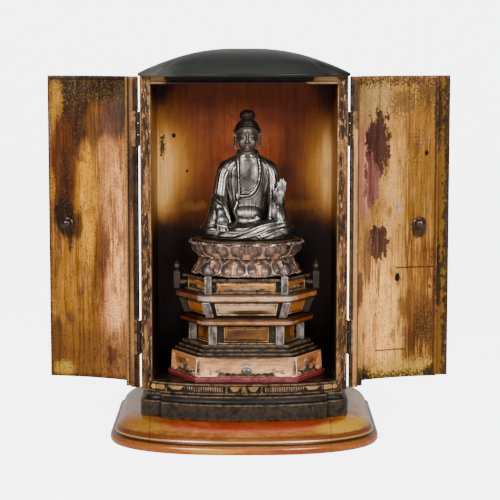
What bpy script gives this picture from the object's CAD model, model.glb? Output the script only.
import math
import bmesh
import bpy
import numpy as np
from mathutils import Matrix, Vector
from mathutils.bvhtree import BVHTree


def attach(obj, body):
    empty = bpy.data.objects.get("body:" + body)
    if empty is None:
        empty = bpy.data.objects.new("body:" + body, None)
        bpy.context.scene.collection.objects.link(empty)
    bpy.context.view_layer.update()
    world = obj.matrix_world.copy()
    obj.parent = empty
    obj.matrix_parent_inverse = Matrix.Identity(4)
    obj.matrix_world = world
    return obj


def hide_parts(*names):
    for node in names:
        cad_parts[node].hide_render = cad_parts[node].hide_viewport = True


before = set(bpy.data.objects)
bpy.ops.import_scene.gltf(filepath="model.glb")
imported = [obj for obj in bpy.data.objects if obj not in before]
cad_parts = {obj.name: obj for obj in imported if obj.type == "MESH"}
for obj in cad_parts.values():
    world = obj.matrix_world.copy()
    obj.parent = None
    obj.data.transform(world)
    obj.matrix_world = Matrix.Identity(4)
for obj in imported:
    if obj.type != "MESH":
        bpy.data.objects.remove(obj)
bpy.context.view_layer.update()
print("frame loaded")

# camera, square picture
cameraLook = {"place": (0.0065, -2.0745, 0.4577), "tip": 83.15, "lens": 131.9}
cameraData = bpy.data.cameras.new("camera")
cameraData.lens = cameraLook["lens"]
cameraData.sensor_width = 36
camera = bpy.data.objects.new("camera", cameraData)
camera.location = cameraLook["place"]
camera.rotation_euler = (math.radians(cameraLook["tip"]), 0, 0)
bpy.context.scene.collection.objects.link(camera)
bpy.context.scene.camera = camera


# Node helpers: a value is either a socket to link or a plain number or colour

farDeep = 9000   # a front stain runs this deep, in mm
grainSize, rubSize, bumpDepth = (1.5, 1.5, 1.5), (6, 6, 6), 0.0004   # mm, mm and metres
stainNoises = {   # size in mm, detail, roughness, warp, shift
    "edge": ((5, 5, 9), 5, 0.62, 0.4, (7, 2, 3)),
    "streak": ((1.8, 1.8, 40), 3, 0.6, 0.2, (3, 6, 2)),
    "fine": ((1.7, 1.7, 2.2), 3, 0.6, 0.1, (6, 1, 9)),
}


def plug(tree, socket, value):
    if isinstance(value, bpy.types.NodeSocket):
        tree.links.new(value, socket)
    else:
        socket.default_value = value


def maths(tree, operation, a, b, clamp=False):
    node = tree.nodes.new("ShaderNodeMath")
    node.operation = operation
    node.use_clamp = clamp
    plug(tree, node.inputs[0], a)
    plug(tree, node.inputs[1], b)
    return node.outputs[0]


def blend(tree, amount, a, b, kind="MIX"):
    node = tree.nodes.new("ShaderNodeMix")
    node.data_type = "RGBA"
    node.blend_type = kind
    plug(tree, node.inputs[0], amount)
    plug(tree, node.inputs[6], a if isinstance(a, bpy.types.NodeSocket) else (*a, 1))
    plug(tree, node.inputs[7], b if isinstance(b, bpy.types.NodeSocket) else (*b, 1))
    return node.outputs[2]


def levels(tree, value, low, high, outLow=0.0, outHigh=1.0):
    node = tree.nodes.new("ShaderNodeMapRange")
    node.interpolation_type = "SMOOTHSTEP"
    plug(tree, node.inputs[0], value)
    for slot, number in zip((1, 2, 3, 4), (low, high, outLow, outHigh)):
        node.inputs[slot].default_value = number
    return node.outputs[0]


def placed(tree, size, shift):   # object coordinates, stretched so that size is one unit
    place = tree.nodes.new("ShaderNodeTexCoord")
    mapping = tree.nodes.new("ShaderNodeMapping")
    mapping.inputs["Scale"].default_value = [1000 / s for s in size]
    mapping.inputs["Location"].default_value = shift
    tree.links.new(place.outputs["Object"], mapping.inputs["Vector"])
    return mapping.outputs[0]


def cloud(tree, size, detail, rough, warp=0.0, shift=(0, 0, 0)):   # size in mm along x, y, z
    noise = tree.nodes.new("ShaderNodeTexNoise")
    noise.inputs["Scale"].default_value = 1
    noise.inputs["Detail"].default_value = detail
    noise.inputs["Roughness"].default_value = rough
    noise.inputs["Distortion"].default_value = warp
    tree.links.new(placed(tree, size, shift), noise.inputs["Vector"])
    return noise.outputs[0]


def spot(tree, x, z, wide, high):   # 1 in the middle, 0 at the radii, seen from the front
    node = tree.nodes.new("ShaderNodeTexGradient")
    node.gradient_type = "SPHERICAL"
    tree.links.new(placed(tree, (wide, farDeep, high), (-x / wide, 0, -z / high)), node.inputs[0])
    return node.outputs[1]


def along(tree, axis, low, high):   # 0 at low, 1 at high, in mm
    place = tree.nodes.new("ShaderNodeTexCoord")
    split = tree.nodes.new("ShaderNodeSeparateXYZ")
    tree.links.new(place.outputs["Object"], split.inputs[0])
    return levels(tree, split.outputs["XYZ".index(axis)], low / 1000, high / 1000)


def attribute(tree, name):
    node = tree.nodes.new("ShaderNodeAttribute")
    node.attribute_name = name
    return node.outputs["Fac"]


def ramp(tree, value, stops):
    node = tree.nodes.new("ShaderNodeValToRGB")
    plug(tree, node.inputs[0], value)
    while len(node.color_ramp.elements) < len(stops):
        node.color_ramp.elements.new(0.5)
    for element, (position, colour) in zip(node.color_ramp.elements, stops):
        element.position = position
        element.color = (*colour, 1)
    return node.outputs[0]


# A stain or worn place: where is x, z, half width and half height, or bands, each an axis with its 0 and 1.
def mark(where, colour, amount=1.0, ragged=0.8, noise="broad", edge=0.3, soft=0.08, kind="MIX"):
    return dict(where=where, colour=colour, amount=amount, ragged=ragged, noise=noise, edge=edge, soft=soft,
                kind=kind)


# A cloudy layer: cut is where it starts and where it is full, or one number for thin lines round its patches.
def veil(size, cut, colour, amount, shift=(3, 1, 7), rough=0.6, sunk=0.0, kind="MIX"):
    return dict(size=size, cut=cut, colour=colour, amount=amount, shift=shift, rough=rough, sunk=sunk,
                kind=kind)


def stain(tree, colour, one, noises):
    if isinstance(one["where"], list):
        mask = 1.0
        for axis, low, high in one["where"]:
            mask = maths(tree, "MULTIPLY", mask, along(tree, axis, low, high))
    else:
        mask = spot(tree, *one["where"])
    noise = maths(tree, "SUBTRACT", noises[one["noise"]], 0.5)
    mask = maths(tree, "ADD", mask, maths(tree, "MULTIPLY", noise, one["ragged"]))
    mask = levels(tree, mask, one["edge"] - one["soft"], one["edge"] + one["soft"], 0.0, one["amount"])
    return blend(tree, mask, colour, one["colour"], one["kind"])


# One aged, layered finish: tones, veils, marks, veils over them, worn edges, grime, then late marks.
def agedFinish(name, look):
    mat = bpy.data.materials.new(name)
    mat.use_nodes = True
    tree = mat.node_tree
    shader = tree.nodes["Principled BSDF"]
    broad = cloud(tree, look["patch"], 6, 0.6, 0.4)
    colour = ramp(tree, broad, look["tones"])
    height = cloud(tree, grainSize, 4, 0.6)
    dull = broad
    for one in look.get("layers", []):
        veiled = cloud(tree, one["size"], 5, one["rough"], 0.3, one["shift"])
        mask = maths(tree, "MULTIPLY", levels(tree, veiled, *one["cut"]), one["amount"])
        colour = blend(tree, mask, colour, one["colour"], one["kind"])
        if one["sunk"]:
            height = maths(tree, "SUBTRACT", height, maths(tree, "MULTIPLY", mask, one["sunk"]))
    if "marks" in look or "shade" in look:
        noises = {"broad": cloud(tree, look.get("markSize", (12, 12, 34)), 3, 0.5, 0.3, (2, 8, 4))}
        for noiseName, (size, detail, rough, warp, shift) in stainNoises.items():
            noises[noiseName] = cloud(tree, size, detail, rough, warp, shift)
    for one in look.get("marks", []):
        colour = stain(tree, colour, one, noises)
    for one in look.get("over", []):
        veiled = cloud(tree, one["size"], 5, one["rough"], 0.3, one["shift"])
        if isinstance(one["cut"], tuple):
            mask = levels(tree, veiled, *one["cut"], 0.0, one["amount"])
        else:
            veiled = maths(tree, "ABSOLUTE", maths(tree, "SUBTRACT", veiled, 0.5), 0.0)
            mask = levels(tree, veiled, 0.0, one["cut"], one["amount"], 0.0)
        colour = blend(tree, mask, colour, one["colour"], one["kind"])
    rubbed = cloud(tree, rubSize, 5, 0.65, 0.2, (5, 5, 5))
    if "edge" in look:
        wear = maths(tree, "MULTIPLY", attribute(tree, "wear"), levels(tree, rubbed, 0.32, 0.62))
        wear = maths(tree, "MULTIPLY", wear, look.get("edgeAmount", 1.0), True)
        colour = blend(tree, wear, colour, look["edge"])
    if "grime" in look:
        dirt = maths(tree, "MULTIPLY", attribute(tree, "hollow"), look.get("grimeAmount", 1.0), True)
        colour = blend(tree, dirt, colour, look["grime"])
        dull = maths(tree, "ADD", dull, dirt, True)
    for one in look.get("shade", []):   # laid over the worn edges too
        colour = stain(tree, colour, one, noises)
    tree.links.new(colour, shader.inputs["Base Color"])
    tree.links.new(levels(tree, dull, 0.3, 0.75, *look["roughness"]), shader.inputs["Roughness"])
    settings = {"Metallic": ("metal", 0.0), "Specular IOR Level": ("shine", 0.25),
                "Coat Weight": ("coat", 0.0), "Coat Roughness": ("coatRoughness", 0.2)}
    for socket, (key, plain) in settings.items():
        shader.inputs[socket].default_value = look.get(key, plain)
    bump = tree.nodes.new("ShaderNodeBump")
    bump.inputs["Strength"].default_value = look.get("bump", 0.3)
    bump.inputs["Distance"].default_value = bumpDepth
    tree.links.new(height, bump.inputs["Height"])
    tree.links.new(bump.outputs[0], shader.inputs["Normal"])
    return mat


# Mesh helpers, all in millimetres until a piece is finished

def everything(bm):
    return bm.verts[:] + bm.edges[:] + bm.faces[:]


def only(kind, geometry):
    return [g for g in geometry if isinstance(g, kind)]


def turns(count):   # angles once round
    return [math.tau * k / count for k in range(count)]


def relax(bm, factor):
    bmesh.ops.smooth_vert(bm, verts=bm.verts[:], factor=factor,
                          use_axis_x=True, use_axis_y=True, use_axis_z=True)


def softBevel(bm, edges, offset, segments=2):
    bmesh.ops.bevel(bm, geom=edges, offset=offset, segments=segments, profile=0.5, affect="EDGES",
                    material=-1)


def curved(points, steps):   # smooth line through the points
    pts = [Vector(p) for p in points]
    line = []
    for i, (p1, p2) in enumerate(zip(pts, pts[1:])):
        p0, p3 = pts[max(i - 1, 0)], pts[min(i + 2, len(pts) - 1)]
        for k in range(steps):
            t = k / steps
            line.append(0.5 * (2 * p1 + (p2 - p0) * t + (2 * p0 - 5 * p1 + 4 * p2 - p3) * t ** 2
                               + (3 * p1 - p0 - 3 * p2 + p3) * t ** 3))
    return line + [pts[-1]]


def bend(a, corner, b, t):   # a place on the curve that cuts a corner
    return a * (1 - t) ** 2 + corner * 2 * t * (1 - t) + b * t ** 2


def rounded(points, radius, steps=3, closed=False):   # the line with its corners rounded off
    pts = [Vector(p) for p in points]
    line = []
    for i, corner in enumerate(pts):
        if not closed and i in (0, len(pts) - 1):
            line.append(corner)
            continue
        before, after = pts[i - 1] - corner, pts[(i + 1) % len(pts)] - corner
        reach = min(radius, before.length * 0.45, after.length * 0.45)
        a, b = corner + before.normalized() * reach, corner + after.normalized() * reach
        line += [bend(a, corner, b, k / steps) for k in range(steps + 1)]
    return line


def ringStack(rings):   # grows the first ring upwards, ring by ring, and closes both ends
    bm = bmesh.new()
    verts = [bm.verts.new(p) for p in rings[0]]
    edges = [bm.edges.new((verts[i - 1], verts[i])) for i in range(len(verts))]
    bm.faces.new(verts)
    for ring in rings[1:]:
        place = {v: i for i, v in enumerate(verts)}
        grown = bmesh.ops.extrude_edge_only(bm, edges=edges)["geom"]
        verts = [None] * len(ring)
        for v in only(bmesh.types.BMVert, grown):
            for e in v.link_edges:
                i = place.get(e.other_vert(v))
                if i is not None:
                    verts[i] = v
                    v.co = ring[i]
        edges = [bm.edges.get((verts[i - 1], verts[i])) for i in range(len(verts))]
    bm.faces.new(verts)
    bmesh.ops.recalc_face_normals(bm, faces=bm.faces[:])
    return bm


def stacked(outline, profile):   # profile is inset and height
    return ringStack([[(p[0], p[1], z) for p in outline(inset)] for inset, z in profile])


def lathe(profile, steps=32, matrix=None):   # profile is radius and height
    bm = bmesh.new()
    verts = [bm.verts.new((r, 0, z)) for r, z in profile]
    edges = [bm.edges.new(pair) for pair in zip(verts, verts[1:])]
    bmesh.ops.spin(bm, geom=verts + edges, cent=(0, 0, 0), axis=(0, 0, 1), angle=math.tau, steps=steps,
                   use_merge=True)
    bmesh.ops.remove_doubles(bm, verts=bm.verts[:], dist=0.0005)
    bmesh.ops.recalc_face_normals(bm, faces=bm.faces[:])
    if matrix is not None:
        bmesh.ops.transform(bm, matrix=matrix, verts=bm.verts[:])
    return bm


def board(low, high, edge, segments=2):
    bm = bmesh.new()
    low, high = Vector(low), Vector(high)
    size = high - low
    matrix = Matrix.Translation((low + high) / 2) @ Matrix.Diagonal((*size, 1))
    bmesh.ops.create_cube(bm, size=1, matrix=matrix)
    softBevel(bm, bm.edges[:], min(edge, min(size) * 0.4), segments)
    flats = [f for f in bm.faces if min(e.calc_length() for e in f.edges) > 4 * edge + 1]
    if flats:
        bmesh.ops.inset_individual(bm, faces=flats, thickness=1.2)
    return bm


def ball(centre, radii, columns=20, rows=12, turn=None):
    bm = bmesh.new()
    matrix = Matrix.Translation(centre) @ (turn or Matrix.Identity(4)) @ Matrix.Diagonal((*radii, 1))
    bmesh.ops.create_uvsphere(bm, u_segments=columns, v_segments=rows, radius=1, matrix=matrix)
    return bm


def tube(points, radii, sides=10, flat=1.0, up=(0, 0, 1)):   # round bar along the points, closed at both ends
    pts = [Vector(p) for p in points]
    rings = []
    for i, p in enumerate(pts):
        tangent = (pts[min(i + 1, len(pts) - 1)] - pts[max(i - 1, 0)]).normalized()
        side = Vector(up).cross(tangent)
        if side.length < 0.2:
            side = Vector((1, 0, 0)).cross(tangent)
        side.normalize()
        rise = tangent.cross(side)
        r = radii[i] if hasattr(radii, "__len__") else radii
        rings.append([p + side * math.cos(a) * r * flat + rise * math.sin(a) * r for a in turns(sides)])
    return ringStack(rings)


def merge(target, part, material=None):
    if material is not None:
        for face in part.faces:
            face.material_index = material
    mesh = bpy.data.meshes.new("part")
    part.to_mesh(mesh)
    part.free()
    target.from_mesh(mesh)
    bpy.data.meshes.remove(mesh)
    return target


# Marks worn high places and hollows by how the surface bends round each point.
def markBends(bm, reach=0.9):
    high = bm.verts.layers.float.new("wear")
    low = bm.verts.layers.float.new("hollow")
    bm.normal_update()
    for v in bm.verts:
        total = 0.0
        for e in v.link_edges:
            step = v.co - e.other_vert(v).co
            total += 2 * v.normal.dot(step) / max(step.length_squared, 0.02)
        bend = total / max(len(v.link_edges), 1)
        v[high] = min(max(bend * reach, 0), 1)
        v[low] = min(max(-bend * reach * 1.6, 0), 1)


def meshObject(bm, name):
    mesh = bpy.data.meshes.new(name)
    bm.to_mesh(mesh)
    bm.free()
    obj = bpy.data.objects.new(name, mesh)
    bpy.context.scene.collection.objects.link(obj)
    return obj


def finishPiece(bm, name, slotName, mats, nodes, body="cabinet", sharp=38, reach=0.9, turn=None):
    bmesh.ops.remove_doubles(bm, verts=bm.verts[:], dist=0.0008)
    bmesh.ops.recalc_face_normals(bm, faces=bm.faces[:])
    for face in bm.faces:
        face.smooth = True
    for edge in bm.edges:
        if len(edge.link_faces) == 2 and edge.calc_face_angle(0) > math.radians(sharp):
            edge.smooth = False
    markBends(bm, reach)
    scale = Matrix.Diagonal((0.001, 0.001, 0.001, 1))
    bmesh.ops.transform(bm, matrix=scale @ turn if turn else scale, verts=bm.verts[:])
    obj = meshObject(bm, name)
    for mat in mats:
        obj.data.materials.append(mat)
    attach(obj, body)
    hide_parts(*nodes)


# Plans

frontY = -57.5


def bothSides(right):
    return right + [Vector((-p.x, p.y)) for p in reversed(right) if abs(p.x) > 1e-4]


def backCorner(right, backY, radius):
    middle = Vector((right[-1].x - radius, backY - radius))
    for k in range(6):
        angle = math.pi / 2 * k / 5
        right.append(middle + Vector((math.cos(angle), math.sin(angle))) * radius)
    return right


plinthPlan = {"half": 151, "bow": 91, "front": -41.5, "back": 132.5, "corner": 8, "power": 2.6, "root": 2.16}
cabinetPlan = {"half": 115.6, "bow": 47.5, "bowHalf": 91.5, "end": -30, "corner": 3,
               "round": {"x": 92.5, "y": -7, "deep": 14}}


def plinthOutline(inset):
    plan = plinthPlan
    right = []
    for i in range(37):
        t = math.sin(i / 36 * math.pi / 2)
        bow = (plan["bow"] - inset) * max(1 - t ** plan["power"], 0) ** (1 / plan["root"])
        right.append(Vector(((plan["half"] - inset) * t, plan["front"] - bow)))
    return bothSides(backCorner(right, plan["back"] - inset, plan["corner"]))


def cabinetOutline(inset, backY, halfWidth=cabinetPlan["half"], bow=cabinetPlan["bow"]):
    plan, corner = cabinetPlan, cabinetPlan["round"]
    right = []
    for i in range(29):
        t = i / 28
        right.append(Vector((plan["bowHalf"] * t, frontY + inset - bow + (bow + plan["end"]) * t ** 2.4)))
    reach = halfWidth - inset - corner["x"]
    for i in range(13):
        angle = i / 12 * math.pi / 2
        y = corner["y"] - math.cos(angle) * (corner["deep"] - inset) + frontY
        right.append(Vector((corner["x"] + math.sin(angle) * reach, y)))
    return bothSides(backCorner(right, backY - inset, plan["corner"]))


# Stage

stageLook = {"tone": (0.82, 0.82, 0.815), "width": 14.0, "front": -4.0, "back": 3.2, "height": 4.0,
             "curve": 1.2, "glow": 5.0}


def makeStage():
    bm = bmesh.new()
    half, back, r = stageLook["width"] / 2, stageLook["back"], stageLook["curve"]
    profile = [(stageLook["front"], 0.0), (back - r, 0.0)]
    profile += [(back - r + r * math.sin(a), r - r * math.cos(a)) for a in np.linspace(0.1, math.pi / 2, 14)]
    profile.append((back, stageLook["height"]))
    verts = [bm.verts.new((-half, y, z - 0.0004)) for y, z in profile]
    edges = [bm.edges.new(pair) for pair in zip(verts, verts[1:])]
    grown = bmesh.ops.extrude_edge_only(bm, edges=edges)["geom"]
    bmesh.ops.translate(bm, vec=(2 * half, 0, 0), verts=only(bmesh.types.BMVert, grown))
    for face in bm.faces:
        face.smooth = True
    bmesh.ops.recalc_face_normals(bm, faces=bm.faces[:])
    floor = meshObject(bm, "stage")
    mat = bpy.data.materials.new("stagePaint")
    mat.use_nodes = True
    shader = mat.node_tree.nodes["Principled BSDF"]
    shader.inputs["Base Color"].default_value = (*stageLook["tone"], 1)
    shader.inputs["Roughness"].default_value = 0.9
    shader.inputs["Emission Color"].default_value = (1, 1, 1, 1)
    glow = mat.node_tree.nodes.new("ShaderNodeLightPath")
    lift = maths(mat.node_tree, "MULTIPLY", glow.outputs["Is Camera Ray"], stageLook["glow"])
    mat.node_tree.links.new(lift, shader.inputs["Emission Strength"])
    floor.data.materials.append(mat)


makeStage()

lightLook = {
    "left": {"place": (-0.95, -2.25, 1.2), "aim": (0, 0, 0.22), "size": 0.8, "power": 66},
    "right": {"place": (1.0, -2.15, 1.05), "aim": (0, 0, 0.22), "size": 0.8, "power": 56},
    "top": {"place": (0, 0.1, 2.2), "aim": (0, 0, 0.4), "size": 1.6, "power": 14},
}
world = bpy.data.worlds.new("studio")
world.use_nodes = True
world.node_tree.nodes["Background"].inputs[0].default_value = (1, 1, 1, 1)
world.node_tree.nodes["Background"].inputs[1].default_value = 0.36
bpy.context.scene.world = world
for lightName, look in lightLook.items():
    data = bpy.data.lights.new(lightName, "AREA")
    data.shape = "DISK"
    data.size = look["size"]
    data.energy = look["power"]
    lamp = bpy.data.objects.new(lightName, data)
    lamp.location = look["place"]
    lamp.rotation_euler = (Vector(look["aim"]) - Vector(look["place"])).to_track_quat("-Z", "Y").to_euler()
    bpy.context.scene.collection.objects.link(lamp)
print("camera, stage and lights set")


# Finishes

amberLook = dict(
    patch=(70, 40, 20),
    tones=[(0.3, (0.12, 0.024, 0.003)), (0.5, (0.27, 0.08, 0.01)), (0.68, (0.44, 0.17, 0.024))],
    layers=[
        veil((60, 40, 5), (0.52, 0.66), (0.1, 0.016, 0.004), 0.6, shift=(1, 2, 3)),
        veil((7, 7, 2.4), (0.56, 0.7), (0.42, 0.17, 0.035), 0.55),
        veil((1.6, 1.6, 1.2), (0.62, 0.69), (0.02, 0.006, 0.003), 0.7, sunk=0.3),
    ],
    markSize=(30, 20, 6),
    marks=[
        mark((10, 29, 150, 9), (0.3, 0.024, 0.007), 0.85, 1.2, soft=0.25),
        mark((113, 24, 38, 9), (0.62, 0.34, 0.03), 0.85, 1.0, soft=0.3),
        mark((-110, 24, 32, 8), (0.35, 0.165, 0.02), 0.8, 1.0, soft=0.3),
        mark([("Z", 19.5, 17), ("Z", 12.8, 13.4)], (0.13, 0.03, 0.005), 0.8, 0.6, soft=0.2),
        mark([("Z", 12.2, 12.8), ("Z", 14.4, 13.6)], (0.6, 0.3, 0.06), 0.75, 1.2, "fine"),
        mark([("Z", 9.0, 9.6), ("Z", 12.4, 11.8)], (0.03, 0.008, 0.003), 0.9, 0.6),
        mark([("X", -104.4, -104.1), ("X", -103.3, -103.6)], (0.03, 0.01, 0.004), 0.7, 0.3),
        mark([("X", 94.6, 94.9), ("X", 95.7, 95.4)], (0.03, 0.01, 0.004), 0.7, 0.3),
        mark([("Z", 9.4, 8.8)], (0.29, 0.075, 0.006), 0.8, 1.2, edge=0.5, soft=0.3),
        mark((60, 5, 70, 6), (0.2, 0.02, 0.006), 0.8, 1.4, edge=0.5, soft=0.3),
        mark((-20, 4, 60, 5), (0.55, 0.26, 0.03), 0.7, 1.4, edge=0.5, soft=0.3),
    ],
    edge=(0.5, 0.22, 0.05), edgeAmount=0.8, grime=(0.012, 0.005, 0.002), grimeAmount=1.3,
    over=[
        veil((14, 10, 3), 0.012, (0.35, 0.2, 0.12), 0.7, kind="MULTIPLY"),
        veil((3, 3, 2), (0.56, 0.66), (1.7, 1.6, 1.4), 0.5, shift=(3, 3, 3), kind="MULTIPLY"),
    ],
    roughness=(0.2, 0.36), metal=0.4, shine=0.35, coat=0.25, bump=0.25,
)
blackLook = dict(
    patch=(40, 40, 25), tones=[(0.3, (0.0025, 0.002, 0.0016)), (0.7, (0.008, 0.0056, 0.004))],
    layers=[
        veil((18, 18, 6), (0.56, 0.72), (0.016, 0.01, 0.009), 0.6),
        veil((3.4, 3.4, 1.4), (0.6, 0.7), (0.13, 0.075, 0.03), 0.6),
    ],
    edge=(0.34, 0.2, 0.1), edgeAmount=1.0, grime=(0.004, 0.003, 0.002), roughness=(0.28, 0.5), shine=0.14,
    bump=0.2,
)
roofLook = dict(
    patch=(90, 90, 60), tones=[(0.3, (0.004, 0.004, 0.003)), (0.7, (0.009, 0.009, 0.007))],
    layers=[
        veil((3, 3, 3), (0.62, 0.75), (0.035, 0.032, 0.028), 0.5),
    ],
    marks=[
        mark([("X", -50, -108)], (0.055, 0.055, 0.05), 0.9, 0.4, edge=0.5, soft=0.45),
    ],
    edge=(0.05, 0.034, 0.02), edgeAmount=0.5, roughness=(0.28, 0.42), shine=0.14, bump=0.12,
)
doorTones = [(0.28, (0.07, 0.022, 0.003)), (0.48, (0.15, 0.054, 0.005)), (0.7, (0.27, 0.112, 0.01))]
doorLayers = [
    veil((9, 7, 30), (0.56, 0.68), (0.34, 0.16, 0.022), 0.6, shift=(9, 3, 1)),
    veil((11, 7, 24), (0.58, 0.7), (0.08, 0.026, 0.006), 0.6, shift=(2, 5, 8)),
]
# grain, cracks and flecks over everything else
doorGrain = [
    veil((1.2, 1.2, 44), (0.48, 0.66), (0.42, 0.26, 0.18), 0.45, rough=0.7, kind="MULTIPLY"),
    veil((4.6, 4.6, 90), (0.5, 0.66), (0.46, 0.32, 0.26), 0.7, shift=(4, 7, 2), kind="MULTIPLY"),
    veil((2.2, 2.2, 22), (0.54, 0.68), (1.7, 1.55, 1.4), 0.5, shift=(8, 2, 5), kind="MULTIPLY"),
    veil((13, 13, 9), 0.009, (0.3, 0.18, 0.12), 0.75, shift=(1, 9, 3), rough=0.75, kind="MULTIPLY"),
    veil((22, 22, 30), 0.006, (0.2, 0.1, 0.07), 0.8, shift=(6, 2, 8), rough=0.75, kind="MULTIPLY"),
    veil((3.4, 3.4, 4.4), (0.63, 0.7), (0.14, 0.09, 0.07), 0.7, rough=0.75, kind="MULTIPLY"),
]
leftLeafLook = dict(
    patch=(34, 30, 100), tones=doorTones, layers=doorLayers, over=doorGrain,
    marks=[
        # gold below, a bright gold column and bare wood beside it
        mark((-196, 176, 33, 58), (0.25, 0.1, 0.006), 0.88, 1.2, soft=0.1),
        mark((-177, 262, 18, 96), (0.58, 0.25, 0.012), 0.9, 0.9, "streak", soft=0.25),
        mark([("X", -170, -150), ("Z", 372, 330)], (0.54, 0.22, 0.07), 0.9, 1.6, "streak", soft=0.35),
        mark((-139, 190, 23, 160), (1.2, 0.56, 0.21), 0.85, 1.0, "streak", soft=0.35),
        mark((-159, 205, 17, 90), (0.13, 0.036, 0.011), 0.9, 2.6, "streak", edge=0.52, soft=0.25),
        mark((-146, 250, 8, 60), (0.2, 0.06, 0.022), 0.8, 2.6, "streak", edge=0.52, soft=0.25),
        # dark clouds
        mark((-188, 356, 34, 46), (0.02, 0.007, 0.003), 0.95, 1.2, soft=0.25),
        mark((-168, 352, 16, 30), (0.14, 0.05, 0.01), 0.8, 1.0, soft=0.3),
        mark((-146, 358, 24, 34), (0.1, 0.044, 0.035), 0.9, 1.0, soft=0.3),
        mark((-204, 302, 20, 88), (0.085, 0.02, 0.003), 0.94, 1.0, "streak", soft=0.15),
        mark((-203, 290, 12, 66), (0.03, 0.008, 0.003), 0.85, 1.2, "broad", soft=0.3),
        mark((-218, 283, 6, 26), (0.36, 0.17, 0.018), 0.85, 1.6, "fine", soft=0.1),
        mark((-204, 250, 17, 27), (0.011, 0.005, 0.003), 0.96, 0.7, "edge", soft=0.16),
        mark((-200, 238, 14, 19), (0.01, 0.004, 0.003), 0.96, 0.7, soft=0.16),
        mark((-198, 224, 4, 22), (0.02, 0.008, 0.004), 0.85, 1.6, "fine", soft=0.1),
        mark((-189, 237, 9, 24), (0.04, 0.013, 0.005), 0.85, 0.5, soft=0.2),
        mark((-212, 100, 8, 46), (0.014, 0.006, 0.003), 0.94, 0.9, "streak", soft=0.2),
        mark([("Z", 148, 92)], (0.14, 0.05, 0.009), 0.8, 2.0, "streak", edge=0.5, soft=0.3),
        mark((-150, 92, 20, 30), (0.07, 0.026, 0.012), 0.8, 2.6, "edge", edge=0.62, soft=0.2),
        # speckled black towards the ends and the outer edge
        mark([("Z", 358, 392)], (0.014, 0.01, 0.008), 0.94, 2.4, "fine", edge=0.62, soft=0.2),
        mark((-136, 376, 14, 50), (0.06, 0.044, 0.034), 0.85, 2.6, "fine", edge=0.5, soft=0.15),
        mark((-215, 380, 15, 32), (0.3, 0.135, 0.01), 0.9, 1.6, "fine", soft=0.15),
        mark([("Z", 366, 376)], (0.36, 0.22, 0.05), 0.9, 3.0, "fine", edge=1.28, soft=0.06),
        mark([("X", -210, -222)], (0.03, 0.014, 0.005), 0.8, 2.6, "fine", edge=0.85, soft=0.2),
        mark((-206, 72, 16, 14), (0.42, 0.24, 0.026), 0.9, 2.2, "fine", soft=0.15),
        mark([("Z", 76, 62)], (0.02, 0.01, 0.005), 0.85, 1.8, "fine", edge=0.7, soft=0.3),
        mark([("Z", 401.5, 404)], (0.01, 0.007, 0.005), 0.9, 0.8, "fine"),
        mark([("X", -219.5, -221.5)], (0.016, 0.01, 0.006), 0.85, 1.4, "fine"),
        # stile: pale line, groove, speckled strip and black edge
        mark([("X", -132, -130.4)], (0.4, 0.19, 0.06), 0.85, 1.2, "fine"),
        mark([("X", -129.6, -128.8)], (0.035, 0.018, 0.01), 0.94, 1.2, "fine"),
        mark([("X", -127.8, -127.0)], (0.17, 0.07, 0.028), 0.9, 1.4, "fine"),
        mark((-125, 130, 6, 90), (0.3, 0.15, 0.05), 0.85, 2.6, "fine", edge=0.5, soft=0.15),
        mark((-124, 300, 6, 60), (0.02, 0.012, 0.008), 0.9, 2.6, "fine", soft=0.15),
        mark([("X", -123.2, -122.2)], (0.006, 0.004, 0.003), 0.98, 0.8, "fine"),
    ],
    edge=(0.5, 0.27, 0.09), edgeAmount=0.5, grime=(0.02, 0.01, 0.005), roughness=(0.34, 0.54), metal=0.45,
    shine=0.12, bump=0.35,
)
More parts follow.
